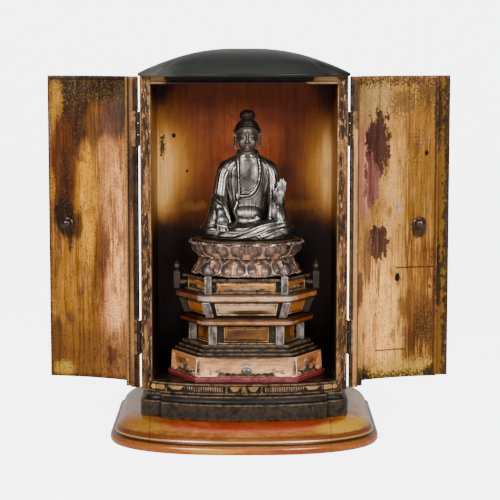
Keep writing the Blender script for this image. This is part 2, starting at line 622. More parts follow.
rightLeafLook = dict(
    patch=(34, 30, 100), tones=doorTones, layers=doorLayers, over=doorGrain,
    marks=[
        # bare pale wood towards the hinges, gold beyond
        mark([("X", 190, 170)], (0.47, 0.23, 0.05), 0.9, 1.4, "streak", soft=0.35),
        mark((150, 140, 36, 100), (1.05, 0.52, 0.13), 0.88, 0.9, "streak", soft=0.35),
        mark((165, 270, 13, 84), (0.66, 0.34, 0.1), 0.85, 0.9, "streak", soft=0.3),
        mark((146, 378, 28, 38), (0.38, 0.25, 0.08), 0.9, 1.4, "fine", soft=0.25),
        mark((204, 300, 24, 90), (0.21, 0.095, 0.009), 0.8, 1.4, soft=0.3),
        mark((196, 330, 30, 84), (0.06, 0.028, 0.006), 0.8, 3.0, "fine", edge=0.95, soft=0.1),
        mark((178, 378, 26, 26), (0.1, 0.05, 0.014), 0.85, 2.4, "fine", edge=0.4, soft=0.25),
        mark((208, 386, 40, 40), (0.055, 0.03, 0.008), 0.85, 3.2, "fine", edge=0.66, soft=0.2),
        mark([("Z", 378, 404)], (0.02, 0.013, 0.007), 0.9, 2.6, "fine", edge=0.85, soft=0.2),
        # reddish lacquer where the gold has gone
        mark((134, 300, 15, 80), (0.42, 0.16, 0.1), 0.95, 0.9, "streak", soft=0.25),
        mark((136, 298, 5, 54), (0.75, 0.34, 0.22), 0.8, 0.6, "streak", soft=0.3),
        mark((150, 328, 19, 54), (0.046, 0.014, 0.015), 0.95, 1.6, "edge", soft=0.05),
        mark((143, 290, 13, 42), (0.19, 0.07, 0.056), 0.95, 1.5, "edge", soft=0.06),
        mark((151, 220, 17, 28), (0.04, 0.013, 0.013), 0.95, 1.4, "edge", soft=0.04),
        mark((147, 196, 26, 110), (0.16, 0.07, 0.03), 0.8, 3.2, "streak", edge=0.95, soft=0.05),
        mark((138, 205, 7, 46), (0.2, 0.08, 0.035), 0.85, 1.1, "streak", soft=0.15),
        mark((127, 168, 9, 34), (0.09, 0.03, 0.018), 0.85, 1.2, "edge", soft=0.15),
        mark((198, 128, 40, 72), (0.12, 0.045, 0.008), 0.8, 2.4, edge=0.5, soft=0.25),
        mark((204, 120, 30, 64), (0.02, 0.01, 0.004), 0.8, 3.0, "fine", edge=0.74, soft=0.1),
        mark((198, 234, 12.5, 16.5), (0.016, 0.008, 0.005), 0.9, 0.9, "fine", soft=0.1),
        mark([("Z", 98, 74)], (0.5, 0.31, 0.05), 0.85, 2.6, "fine", edge=0.6, soft=0.2),
        mark([("Z", 84, 66)], (0.02, 0.011, 0.005), 0.9, 2.8, "fine", edge=0.8, soft=0.2),
        mark((126, 68, 24, 20), (0.012, 0.008, 0.005), 0.9, 1.4, "fine", soft=0.15),
        mark((214, 66, 15, 17), (0.012, 0.008, 0.005), 0.9, 1.2, "fine", soft=0.15),
        mark([("Z", 189.3, 189.9), ("Z", 191.3, 190.7), ("X", 168, 176)], (0.03, 0.012, 0.004), 0.9, 0.6),
        mark([("Z", 95.6, 96.2), ("Z", 97.6, 97.0), ("X", 146, 150), ("X", 186, 180)], (0.04, 0.018, 0.006),
             0.85, 1.2, "fine"),
        mark((206, 320, 3.4, 4.6), (0.006, 0.005, 0.004), ragged=0.2),
        mark((173.5, 179.5, 4, 6.5), (0.006, 0.005, 0.004), ragged=0.3),
        mark((174, 259, 4.5, 9), (0.3, 0.23, 0.22), 0.8, 1.4, "fine", soft=0.15),
        # groove, lip and stile
        mark([("X", 214.6, 216)], (0.05, 0.014, 0.005), 0.9, 0.8, soft=0.1),
        mark([("X", 217.6, 218.4)], (0.2, 0.085, 0.008), 0.9, 1.6, "fine"),
        mark((220, 366, 7, 60), (0.012, 0.008, 0.005), 0.94, 2.0, "fine", edge=0.3, soft=0.12),
        mark((221, 176, 6, 60), (0.014, 0.009, 0.006), 0.94, 2.0, "edge", edge=0.4, soft=0.08),
        mark([("X", 218, 233)], (0.012, 0.008, 0.005), 0.94, 2.4, "edge", edge=0.62, soft=0.08),
        mark([("X", 127.8, 126.6)], (0.04, 0.016, 0.009), 0.92, 0.8),
        mark([("X", 125.8, 125), ("Z", 356, 340)], (0.42, 0.2, 0.07), 0.88, 1.8, "fine"),
        mark([("X", 125.8, 125), ("Z", 346, 356)], (0.03, 0.014, 0.01), 0.92, 1.6, "fine"),
        mark([("X", 121.6, 120.6)], (0.008, 0.005, 0.004), 0.97, 0.9, "fine"),
    ],
    edge=(0.55, 0.3, 0.1), edgeAmount=0.5, grime=(0.02, 0.01, 0.005), roughness=(0.34, 0.54), metal=0.45,
    shine=0.12, bump=0.35,
)
postLook = dict(
    patch=(7, 7, 50),
    tones=[(0.32, (0.024, 0.01, 0.005)), (0.48, (0.08, 0.03, 0.01)), (0.66, (0.26, 0.12, 0.035))],
    layers=[
        veil((5, 5, 30), (0.46, 0.56), (0.014, 0.008, 0.006), 0.9, shift=(3, 4, 5)),
        veil((1.8, 1.8, 9), (0.56, 0.64), (0.5, 0.28, 0.12), 0.75, shift=(2, 2, 5)),
        veil((1.4, 1.4, 2.2), (0.55, 0.62), (0.01, 0.006, 0.005), 0.85, sunk=0.4),
    ],
    marks=[
        mark([("X", -113.4, -114.2)], (0.008, 0.006, 0.005), ragged=0.8, noise="fine"),
        mark([("X", 113.4, 114.2)], (0.008, 0.006, 0.005), ragged=0.8, noise="fine"),
    ],
    edge=(0.6, 0.34, 0.12), edgeAmount=0.7, grime=(0.008, 0.005, 0.004), roughness=(0.34, 0.54), metal=0.35,
    shine=0.12, bump=0.35,
)
lintelLook = dict(
    patch=(20, 9, 5), tones=[(0.3, (0.003, 0.0014, 0.0006)), (0.7, (0.014, 0.005, 0.0018))],
    markSize=(14, 6, 4),
    marks=[
        mark([("X", 50, 98)], (0.4, 0.22, 0.09), 0.9, 1.6, edge=0.6, soft=0.2),
        mark([("X", -78, -100)], (0.34, 0.18, 0.07), 0.9, 1.6, edge=0.55, soft=0.2),
    ],
    edge=(0.12, 0.06, 0.03), edgeAmount=0.5, grime=(0.004, 0.002, 0.002), roughness=(0.3, 0.5), metal=0.2,
    bump=0.25,
)
nicheLook = dict(
    patch=(50, 50, 120),
    tones=[(0.3, (0.11, 0.013, 0.002)), (0.5, (0.19, 0.032, 0.0045)), (0.72, (0.3, 0.066, 0.008))],
    layers=[
        veil((6, 6, 150), (0.5, 0.7), (0.09, 0.014, 0.003), 0.6),
        veil((16, 16, 12), (0.5, 0.7), (0.06, 0.012, 0.003), 0.45, shift=(4, 2, 6)),
        veil((2.2, 2.2, 2.6), (0.64, 0.7), (0.015, 0.005, 0.003), 0.6),
    ],
    markSize=(16, 16, 40),
    marks=[
        mark((-94, 300, 66, 104), (0.36, 0.12, 0.012), 0.9, 0.35, edge=0.4, soft=0.36),
        mark((-96, 292, 40, 84), (0.78, 0.36, 0.06), 0.9, 0.5, edge=0.42, soft=0.36),
        mark((-94, 284, 15, 66), (1.0, 0.55, 0.17), 0.9, 0.6, edge=0.42, soft=0.36),
        mark((96, 298, 50, 96), (0.3, 0.1, 0.01), 0.9, 0.35, edge=0.4, soft=0.36),
        mark((98, 292, 28, 78), (0.55, 0.24, 0.04), 0.9, 0.5, edge=0.42, soft=0.36),
        mark((97, 300, 9, 66), (0.78, 0.43, 0.13), 0.9, 0.6, edge=0.42, soft=0.36),
        mark((-66, 250, 40, 10), (0.4, 0.16, 0.02), 0.8, 1.4, "edge", edge=0.5, soft=0.3),
        mark((64, 252, 36, 12), (0.4, 0.15, 0.018), 0.8, 1.4, "edge", edge=0.5, soft=0.3),
        mark((47, 290, 18, 20), (0.05, 0.012, 0.003), 0.7, 0.5, edge=0.4, soft=0.35),
        mark([("Z", 262, 206)], (0.012, 0.003, 0.0008), 0.97, 0.7, edge=0.5, soft=0.4),
        mark((-112, 402, 50, 44), (0.012, 0.004, 0.001), 0.96, 0.6, soft=0.28),
        mark((114, 400, 46, 56), (0.012, 0.004, 0.001), 0.96, 0.6, soft=0.28),
        mark((-97, 322, 5, 24), (0.01, 0.005, 0.003), 0.92, 2.0, "fine", edge=0.42),
        mark((-83.5, 334, 3.4, 4), (0.004, 0.002, 0.001), ragged=0.2),
        mark((-68, 292, 2.4, 2.4), (0.004, 0.002, 0.001), ragged=0.6, noise="fine"),
        mark((8, 252, 70, 30), (0.1, 0.016, 0.003), 0.7, 0.5, edge=0.4, soft=0.35),
        mark([("Y", 93.4, 94)], (0.008, 0.006, 0.005), ragged=0.0),
        mark([("X", -108.6, -109.2)], (0.008, 0.006, 0.005), ragged=0.0),
        mark([("X", 108.6, 109.2)], (0.008, 0.006, 0.005), ragged=0.0),
    ],
    over=[
        veil((1.6, 1.6, 60), (0.48, 0.66), (0.55, 0.42, 0.36), 0.5, kind="MULTIPLY"),
        veil((26, 26, 40), 0.005, (0.3, 0.2, 0.16), 0.7, rough=0.75, kind="MULTIPLY"),
    ],
    roughness=(0.3, 0.46), metal=0.25, shine=0.2, bump=0.2,
)
wallLook = dict(
    patch=(50, 50, 150),
    tones=[(0.3, (0.07, 0.018, 0.004)), (0.5, (0.17, 0.055, 0.009)), (0.72, (0.36, 0.15, 0.028))],
    layers=[
        veil((5, 5, 150), (0.5, 0.7), (0.03, 0.008, 0.003), 0.6),
        veil((2.2, 2.2, 2.6), (0.6, 0.68), (0.012, 0.005, 0.003), 0.7),
    ],
    marks=[
        mark([("Z", 262, 205)], (0.006, 0.0024, 0.0008), 0.95, 0.6, edge=0.5, soft=0.4),
        mark([("Z", 352, 396)], (0.008, 0.003, 0.001), 0.94, 0.6, edge=0.5, soft=0.4),
        mark([("Y", -39, -42)], (0.3, 0.15, 0.04), 0.85, 1.6, "fine"),
        mark([("X", -108.6, -109.2)], (0.008, 0.006, 0.005), ragged=0.0),
        mark([("X", 108.6, 109.2)], (0.008, 0.006, 0.005), ragged=0.0),
    ],
    roughness=(0.3, 0.46), metal=0.2, shine=0.2, bump=0.2,
)
redLook = dict(
    patch=(30, 30, 10), tones=[(0.3, (0.06, 0.003, 0.005)), (0.7, (0.17, 0.011, 0.018))],
    layers=[
        veil((7, 7, 2), (0.5, 0.62), (0.03, 0.008, 0.008), 0.8),
        veil((9, 9, 1.2), (0.56, 0.68), (0.42, 0.11, 0.11), 0.6, shift=(2, 6, 1)),
    ],
    marks=[
        mark([("X", -53, -58)], (0.12, 0.004, 0.006), 0.8, 0.4),
        mark([("X", 58, 63)], (0.16, 0.006, 0.008), 0.8, 0.4),
    ],
    edge=(0.46, 0.14, 0.14), grime=(0.01, 0.004, 0.004), roughness=(0.3, 0.5), bump=0.2,
)
ironLook = dict(
    patch=(6, 6, 9), tones=[(0.3, (0.003, 0.0025, 0.002)), (0.7, (0.014, 0.01, 0.007))],
    layers=[
        veil((1.6, 1.6, 1.6), (0.62, 0.7), (0.05, 0.026, 0.012), 0.5),
    ],
    edge=(0.05, 0.034, 0.02), edgeAmount=0.6, roughness=(0.4, 0.6), metal=0.5, bump=0.4,
)
knobLook = dict(
    patch=(9, 9, 9), tones=[(0.3, (0.006, 0.002, 0.001)), (0.7, (0.03, 0.008, 0.003))],
    edge=(0.07, 0.02, 0.01), edgeAmount=0.3, grime=(0.003, 0.001, 0.001), roughness=(0.16, 0.28), shine=0.3,
    coat=0.15, coatRoughness=0.16, bump=0.1,
)
bronzeLook = dict(
    patch=(16, 16, 20), tones=[(0.3, (0.07, 0.058, 0.05)), (0.7, (0.23, 0.205, 0.185))],
    layers=[
        veil((7, 7, 9), (0.58, 0.72), (0.2, 0.12, 0.07), 0.4),
        veil((3, 3, 3.5), (0.6, 0.7), (0.42, 0.38, 0.35), 0.35, shift=(4, 4, 4)),
    ],
    markSize=(6, 6, 9),
    marks=[
        mark((4, 297, 13, 26), (0.5, 0.48, 0.48), 0.9, 0.5, soft=0.15, kind="MULTIPLY"),
    ],
    edge=(0.72, 0.66, 0.6), edgeAmount=1.0, grime=(0.006, 0.004, 0.003), grimeAmount=2.2,
    roughness=(0.2, 0.38), metal=0.95, bump=0.25,
)
faceLook = dict(
    patch=(16, 16, 20), tones=[(0.3, (0.075, 0.056, 0.045)), (0.7, (0.13, 0.1, 0.084))],
    edge=(0.3, 0.25, 0.21), edgeAmount=0.3, grime=(0.03, 0.022, 0.017), grimeAmount=0.7,
    roughness=(0.4, 0.52), metal=0.8, bump=0.12,
)
hairLook = dict(
    patch=(8, 8, 8), tones=[(0.3, (0.007, 0.005, 0.004)), (0.7, (0.022, 0.016, 0.012))],
    edge=(0.1, 0.075, 0.055), edgeAmount=0.6, grime=(0.006, 0.004, 0.003), grimeAmount=1.6,
    roughness=(0.34, 0.52), metal=0.7, bump=0.2,
)
lotusBronzeLook = dict(
    patch=(9, 9, 9), tones=[(0.3, (0.035, 0.022, 0.017)), (0.7, (0.17, 0.12, 0.1))],
    layers=[
        veil((4, 4, 4), (0.5, 0.64), (0.3, 0.1, 0.04), 0.6),
    ],
    edge=(0.6, 0.45, 0.36), edgeAmount=1.1, grime=(0.008, 0.004, 0.003), grimeAmount=2.6,
    roughness=(0.24, 0.46), metal=0.6, bump=0.3,
)
lotusGoldLook = dict(
    patch=(6, 6, 6), tones=[(0.3, (0.3, 0.13, 0.05)), (0.7, (0.62, 0.34, 0.18))], edge=(0.75, 0.5, 0.34),
    grime=(0.02, 0.008, 0.004), grimeAmount=1.8, roughness=(0.3, 0.5), metal=0.3, bump=0.3,
)
# the stand is brighter on its front faces than on the slanting ones
carvedLook = dict(
    patch=(26, 26, 12),
    tones=[(0.3, (0.07, 0.026, 0.005)), (0.5, (0.2, 0.085, 0.014)), (0.7, (0.38, 0.19, 0.04))],
    layers=[
        veil((9, 9, 4), (0.52, 0.66), (0.06, 0.02, 0.005), 0.6),
        veil((1.6, 1.6, 1.4), (0.6, 0.67), (0.02, 0.01, 0.004), 0.7),
    ],
    markSize=(12, 12, 4),
    shade=[
        mark([("Z", 133, 131), ("Z", 90, 95)], (0.45, 0.36, 0.22), ragged=0.3, kind="MULTIPLY"),
        mark((2.5, 113.4, 26, 2.4), (0.03, 0.014, 0.004), 0.85, 1.0, soft=0.2),
        mark([("Z", 165, 167)], (1.5, 1.25, 1.0), ragged=0.3, kind="MULTIPLY"),
        mark([("X", -45, -50), ("Z", 90, 95)], (0.34, 0.1, 0.012), 0.7, 1.0, soft=0.2),
        mark([("X", 50, 55), ("Z", 90, 95)], (0.38, 0.115, 0.014), 0.7, 1.0, soft=0.2),
        mark((-60, 172, 12, 3), (0.02, 0.008, 0.003), 0.9, 1.2, soft=0.15),
        mark((66, 173, 10, 3), (0.02, 0.008, 0.003), 0.9, 1.2, soft=0.15),
        mark((60, 119, 6, 3), (0.02, 0.008, 0.003), 0.85, 1.2, soft=0.15),
    ],
    edge=(0.66, 0.4, 0.17), grime=(0.006, 0.004, 0.002), grimeAmount=2.0, roughness=(0.3, 0.52), metal=0.3,
    bump=0.3,
)
slabLook = dict(
    patch=(20, 20, 7),
    tones=[(0.3, (0.2, 0.085, 0.03)), (0.48, (0.46, 0.24, 0.11)), (0.68, (0.66, 0.41, 0.24))],
    layers=[
        veil((10, 10, 1.6), (0.52, 0.66), (0.26, 0.1, 0.04), 0.75),
        veil((1.4, 1.4, 1.2), (0.58, 0.66), (0.05, 0.025, 0.015), 0.65),
    ],
    markSize=(9, 9, 3), edge=(0.78, 0.56, 0.42), edgeAmount=0.9, grime=(0.012, 0.008, 0.005), grimeAmount=2.0,
    shade=[
        mark((-44, 162, 8, 9), (0.26, 0.22, 0.21), 0.8, 1.0, soft=0.2),
        mark((49, 162, 8, 9), (0.4, 0.3, 0.27), 0.8, 1.0, soft=0.2),
        mark((-45, 134, 7, 8), (0.22, 0.18, 0.17), 0.8, 1.0, soft=0.2),
        mark((50, 134, 7, 8), (0.36, 0.27, 0.23), 0.8, 1.0, soft=0.2),
        mark([("X", -50, -56)], (0.26, 0.15, 0.12), 0.95, 1.0, soft=0.25, kind="MULTIPLY"),
        mark([("X", 57, 63)], (0.7, 0.42, 0.2), 0.95, 1.0, soft=0.25, kind="MULTIPLY"),
        mark([("Z", 163.9, 164.5)], (0.12, 0.09, 0.07), 0.95, 0.7, "fine", kind="MULTIPLY"),
        mark([("Z", 159.6, 159.0), ("Z", 156, 157)], (0.14, 0.1, 0.08), 0.95, 0.7, "fine", kind="MULTIPLY"),
        mark([("Z", 135.9, 136.4), ("Z", 139.6, 139.2)], (0.1, 0.07, 0.06), 0.96, 0.7, "fine",
             kind="MULTIPLY"),
        mark([("Z", 133.0, 132.4)], (0.14, 0.1, 0.08), 0.95, 0.7, "fine", kind="MULTIPLY"),
        mark([("Z", 142, 140.5)], (0.66, 0.48, 0.3), ragged=0.3, kind="MULTIPLY"),
    ],
    roughness=(0.3, 0.52), metal=0.2, bump=0.3,
)
slantLook = dict(slabLook,
    tones=[(0.3, (0.14, 0.06, 0.022)), (0.48, (0.28, 0.15, 0.06)), (0.68, (0.5, 0.32, 0.16))],
    shade=[
        mark((0, 150.5, 44, 4.6), (0.52, 0.31, 0.14), 0.92, 0.9, soft=0.25),
        mark((6, 144.6, 32, 4.2), (0.04, 0.016, 0.006), 0.94, 0.5, soft=0.25),
        mark([("X", -46, -49)], (0.36, 0.1, 0.012), 0.9, 1.2, soft=0.2),
        mark([("X", 51, 54)], (0.42, 0.12, 0.015), 0.9, 1.2, soft=0.2),
    ],
)
apronLook = dict(slabLook,
    tones=[(0.3, (0.36, 0.14, 0.05)), (0.48, (0.6, 0.28, 0.11)), (0.68, (0.78, 0.44, 0.21))],
    shade=[
        mark((2.5, 96, 60, 6), (0.32, 0.14, 0.09), 0.8, 1.6, edge=0.45, soft=0.2),
        mark((2.5, 96.5, 70, 2.5), (0.03, 0.016, 0.01), 0.9, 1.0, "fine", soft=0.15),
        mark([("X", -55, -61)], (0.56, 0.2, 0.05), 0.85, 1.4, soft=0.2),
        mark([("X", 62, 68)], (0.62, 0.2, 0.05), 0.85, 1.4, soft=0.2),
        mark((-72, 86, 14, 8), (0.05, 0.018, 0.006), 0.8, 2.4, "fine", edge=0.55, soft=0.15),
        mark((76, 86, 12, 8), (0.05, 0.018, 0.006), 0.8, 2.4, "fine", edge=0.55, soft=0.15),
    ],
)
tarnishLook = dict(
    patch=(5, 5, 14),
    tones=[(0.3, (0.022, 0.017, 0.014)), (0.5, (0.08, 0.065, 0.056)), (0.7, (0.3, 0.25, 0.22))],
    layers=[
        veil((2.4, 2.4, 4), (0.56, 0.7), (0.42, 0.25, 0.16), 0.55),
    ],
    edge=(0.62, 0.52, 0.46), edgeAmount=0.9, grime=(0.01, 0.007, 0.005), grimeAmount=2.0,
    shade=[
        mark([("X", -58, -62), ("Z", 125, 135)], (0.02, 0.011, 0.006), 0.95, 1.4, "fine"),
        mark([("X", 63, 67), ("Z", 125, 135)], (0.02, 0.011, 0.006), 0.95, 1.4, "fine"),
    ],
    roughness=(0.28, 0.48), metal=0.5, bump=0.3,
)

amberLacquer = agedFinish("amberLacquer", amberLook)
blackLacquer = agedFinish("blackLacquer", blackLook)
roofLacquer = agedFinish("roofLacquer", roofLook)
postGilding = agedFinish("postGilding", postLook)
leafGilding = {"left": agedFinish("leftLeafGilding", leftLeafLook),
               "right": agedFinish("rightLeafGilding", rightLeafLook)}
lintelGilding = agedFinish("lintelGilding", lintelLook)
nicheGilding = agedFinish("nicheGilding", nicheLook)
wallGilding = agedFinish("wallGilding", wallLook)
carvedGilding = agedFinish("carvedGilding", carvedLook)
redLacquer = agedFinish("redLacquer", redLook)
hingeIron = agedFinish("hingeIron", ironLook)
knobLacquer = agedFinish("knobLacquer", knobLook)
figureBronze = agedFinish("figureBronze", bronzeLook)
faceBronze = agedFinish("faceBronze", faceLook)
hairBronze = agedFinish("hairBronze", hairLook)
lotusBronze = agedFinish("lotusBronze", lotusBronzeLook)
lotusGold = agedFinish("lotusGold", lotusGoldLook)
slabGilding = agedFinish("slabGilding", slabLook)
slantGilding = agedFinish("slantGilding", slantLook)
apronGilding = agedFinish("apronGilding", apronLook)
tarnish = agedFinish("tarnish", tarnishLook)
print("finishes made")


# Cabinet

plinthShape = [(1.5, 0), (0, 2.2), (0, 6.6), (2.2, 9.6), (5.4, 10.4), (5.4, 13.2)]
plinthCurve = [(5.4, 13.2), (7.8, 17.5), (13, 23.5), (20.5, 28.6), (28, 30.8), (31, 31.5)]
plinthTop = [(34, 31.5), (60, 31.5)]
baseShape = [(1, 31.8), (0, 33.2), (0, 49), (1, 50), (5.2, 50.6), (6.2, 53.4), (6.4, 57.5), (12, 57.5)]
baseBack = 100.5
roofShape = {"back": 99.5, "half": 116.4, "bow": 48, "top": 437, "span": 116, "rise": 26, "flat": 0.14,
             "rings": 26, "rim": [(0.985, 407.5), (0.994, 407.65), (1, 408.3), (1, 410.4), (0.998, 411)]}


def makePlinth():
    profile = rounded(plinthShape, 1.6, 4) + curved(plinthCurve, 4)[1:]
    bm = stacked(plinthOutline, [tuple(p) for p in profile] + plinthTop)
    finishPiece(bm, "plinthBoard", "amber_lacquer", [amberLacquer], ["plinth"])


def makeBaseFrame():
    bm = stacked(lambda inset: cabinetOutline(inset, baseBack), rounded(baseShape, 0.9, 3))
    finishPiece(bm, "baseBand", "black_lacquer", [blackLacquer], ["base_frame"])


def makeRoof():
    look = roofShape
    edge = cabinetOutline(0, look["back"], look["half"], look["bow"])
    middle = Vector((0, (look["back"] + frontY - look["bow"]) / 2))
    halfDepth = (look["back"] - frontY + look["bow"]) / 2
    rise, run = look["rise"] / look["span"], 1 - look["flat"]
    radius = (run * run + rise * rise) / (2 * rise)
    rings = [[(*((p - middle) * size + middle), z) for p in edge] for size, z in look["rim"]]
    for i in range(1, look["rings"] + 1):
        size = 1 - run * math.sin(i / look["rings"] * math.pi / 2) ** 1.4
        drop = radius - math.sqrt(radius * radius - (size - look["flat"]) ** 2)
        soft = min(max((1 - size) / 0.3, 0), 1)
        soft = soft * soft * (3 - 2 * soft)
        ring = []
        for p in edge:
            reach = (abs(p.x / look["half"]) ** 4 + abs((p.y - middle.y) / halfDepth) ** 4) ** 0.25
            cushion = (p - middle) / reach + middle
            plan = (p.lerp(cushion, soft) - middle) * size + middle
            ring.append((*plan, look["top"] - drop * look["span"]))
        rings.append(ring)
    finishPiece(ringStack(rings), "roofBoard", "roof_lacquer", [roofLacquer], ["roof"], sharp=50)


boardLook = {"inside": 102.7, "wall": 103, "outside": 111.5, "post": 114.8, "front": -57.5, "postBack": -45.5,
             "wallFront": -45.2, "back": 88.7, "foot": 57.8, "top": 407.2, "edge": 0.7}


def makeBoards():
    look = boardLook
    inside, outside, foot, top, back = (look[key] for key in ("inside", "outside", "foot", "top", "back"))
    boards = {
        "floorBoard": ("floor", (-inside, look["front"], foot), (inside, back, 69), blackLacquer,
                       "black_lacquer"),
        "backBoard": ("back_wall", (-outside, 89, foot), (outside, 97.5, top), nicheGilding, "niche_gilding"),
        "ceilingBoard": ("ceiling", (-inside, look["wallFront"], 401), (inside, back, top), blackLacquer,
                         "black_lacquer"),
    }
    for side, sign in (("left", -1), ("right", 1)):
        a, b = sorted((sign * look["wall"], sign * look["post"]))
        boards[side + "PostBoard"] = (side + "_post", (a, look["front"], foot), (b, look["postBack"], top),
                                      postGilding, "worn_gilding")
        a, b = sorted((sign * look["wall"], sign * outside))
        boards[side + "WallBoard"] = (side + "_wall", (a, look["wallFront"], foot), (b, back, top),
                                      wallGilding, "niche_gilding")
    for name, (node, low, high, mat, slotName) in boards.items():
        finishPiece(board(low, high, look["edge"]), name, slotName, [mat], [node])


lintelShape = {"y": 3.6, "z": 398.5, "stations": (-102.7, -102, 0, 102, 102.7),
               "section": [(8, 0), (0, 0), (-3.1, 0.7), (-3.4, 2.6), (-2.2, 3.4), (-2.2, 8.7), (8, 8.7)]}


def makeLintel():
    look = lintelShape
    ring = rounded(look["section"], 0.7, 4, True)
    rings = [[(x, frontY + look["y"] + p.x, look["z"] + p.y) for p in ring] for x in look["stations"]]
    finishPiece(ringStack(rings), "lintelMoulding", "worn_gilding", [lintelGilding], ["lintel"])


makePlinth()
makeBaseFrame()
makeRoof()
makeBoards()
makeLintel()
print("cabinet made")


# Doors

pin = Vector((117.2, -58.6, 0))
openTurn = math.radians(189.5)
hingeLook = {
    "upper": 349.5, "lower": 117.3, "length": 38, "barrel": 1.9, "knuckle": 12.4, "knuckleGap": 0.4,
    "round": 0.35, "seat": 114.6, "seatHalf": 19.33, "seatStep": 0.03, "strapIn": 115.2, "pinY": -1.1,
    "door": {"x": (114.9, 115.7), "y": (-8.7, -2.8), "strapY": (-3.5, -1.2), "knuckles": [1]},
    "post": {"x": (115.1, 115.9), "y": (0.6, 7.9), "strapY": (-1.0, 1.3), "knuckles": [0, 2]},
}
doorLook = {
    "half": 98, "bow": 37.4, "rise": 15.4, "thick": 7, "edge": 0.7,
    "heights": [64, 66, 70, 80, *range(100, 400, 20), 396, 403, 407], "footHeights": (60.5, 61, 66),
    "stileFront": [(-98, -22), (-100, -11), (-107.2, -8), (-107.2, -2.2), (-116.4, -2.2), (-116.4, -8)],
    "stileBack": [(-108.9, -17), (-103.5, -18.6), (-100.8, -27)],
    "left": {"inner": -5, "outer": -8.4, "step": 3.4, "sign": -1},
    "right": {"inner": -7.5, "outer": 7, "step": 3.8, "sign": 1},
}


def doorMatrix(sign):   # from the closed place to the open one
    hinge = Matrix.Translation((sign * pin.x, pin.y, 0))
    return hinge @ Matrix.Rotation(sign * openTurn, 4, "Z") @ hinge.inverted()


def innerFaceY(x):
    return -doorLook["bow"] + doorLook["rise"] * (abs(x) / doorLook["half"]) ** 2.4


def doorPlan(look, full=True):   # of the left door, closed, seen from above
    half, thick = doorLook["half"], doorLook["thick"]
    points = []
    if full:
        points += [(x, innerFaceY(x)) for x in np.linspace(look["inner"], -half, 24)]
    points += rounded(doorLook["stileFront"], 1.2, 3)[1:]
    for k in range(1, 9):
        angle = k / 8 * math.pi / 2
        points.append((-108.9 - math.cos(angle) * 7.5, -8 - math.sin(angle) * 9))
    points += rounded([*doorLook["stileBack"], (2 - half, innerFaceY(2 - half) - thick)], 1.5, 3)[1:]
    if full:
        points += [(x, innerFaceY(x) - thick) for x in np.linspace(2 - half, look["outer"], 24)[1:]]
        points += [(look[key], innerFaceY(look[key]) - look["step"]) for key in ("outer", "inner")]
    return [Vector(p) for p in points]


def makeDoor(side):
    look = doorLook[side]
    sign = look["sign"]

    def upright(plan, heights):
        return ringStack([[(-sign * p.x, p.y + frontY, z) for p in plan] for z in heights])
    bm = upright(doorPlan(look), doorLook["heights"])
    rim = [e for e in bm.edges if abs(e.calc_face_angle(0)) > math.radians(60)]
    softBevel(bm, rim, doorLook["edge"])
    merge(bm, upright([p for p in doorPlan(look, False) if p.x < -97], doorLook["footHeights"]))
    for level in ("upper", "lower"):   # seats for the hinges
        z, half, step, seat = (hingeLook[key] for key in (level, "seatHalf", "seatStep", "seat"))
        for shift in (-half - step, -half + step, half - step, half + step):
            bmesh.ops.bisect_plane(bm, geom=everything(bm), plane_co=(0, 0, z + shift), plane_no=(0, 0, 1))
        for v in bm.verts:
            if abs(v.co.z - z) < half and abs(v.co.x) > seat:
                v.co.x = math.copysign(seat, v.co.x)
    for face in bm.faces:   # black outside and round the hinge edge
        centre = face.calc_center_median()
        outside = -face.normal.y > 0.25 and abs(centre.x) < 107.5
        rounding = centre.y - frontY < -8 and abs(centre.x) > 100
        face.material_index = 1 if outside or (rounding and face.normal.y < 0.2) else 0
    finishPiece(bm, side + "DoorBoard", "worn_gilding", [leafGilding[side], blackLacquer], [side + "_door"],
                side + "_door_leaf", turn=doorMatrix(sign))


for side in ("left", "right"):
    makeDoor(side)
print("doors made")


# Knobs and hinges

knobShape = {
    "fromEdge": 21.3, "height": 240, "foot": (7.8, 0.3),
    "profile": [(0, 0.2), (7.6, 0.2), (7.8, 0.7), (7.7, 1.4), (7.2, 1.8), (6.1, 2.1), (5.9, 2.5), (6.2, 3.0),
                (6.35, 4.0), (6.1, 5.3), (5.2, 6.6), (3.8, 7.6), (2.0, 8.1), (0, 8.3)],
}


def makeKnob(side):
    look, door = knobShape, doorLook[side]
    x = door["inner"] - look["fromEdge"]
    radius, lift = look["foot"]
    middle = (-door["sign"] * x, frontY + innerFaceY(x - radius) + lift, look["height"])
    bm = lathe(look["profile"], 40, Matrix.Translation(middle) @ Matrix.Rotation(-math.pi / 2, 4, "X"))
    finishPiece(bm, side + "KnobTurned", "knob_lacquer", [knobLacquer], [side + "_knob"], side + "_door_leaf",
                turn=doorMatrix(door["sign"]))


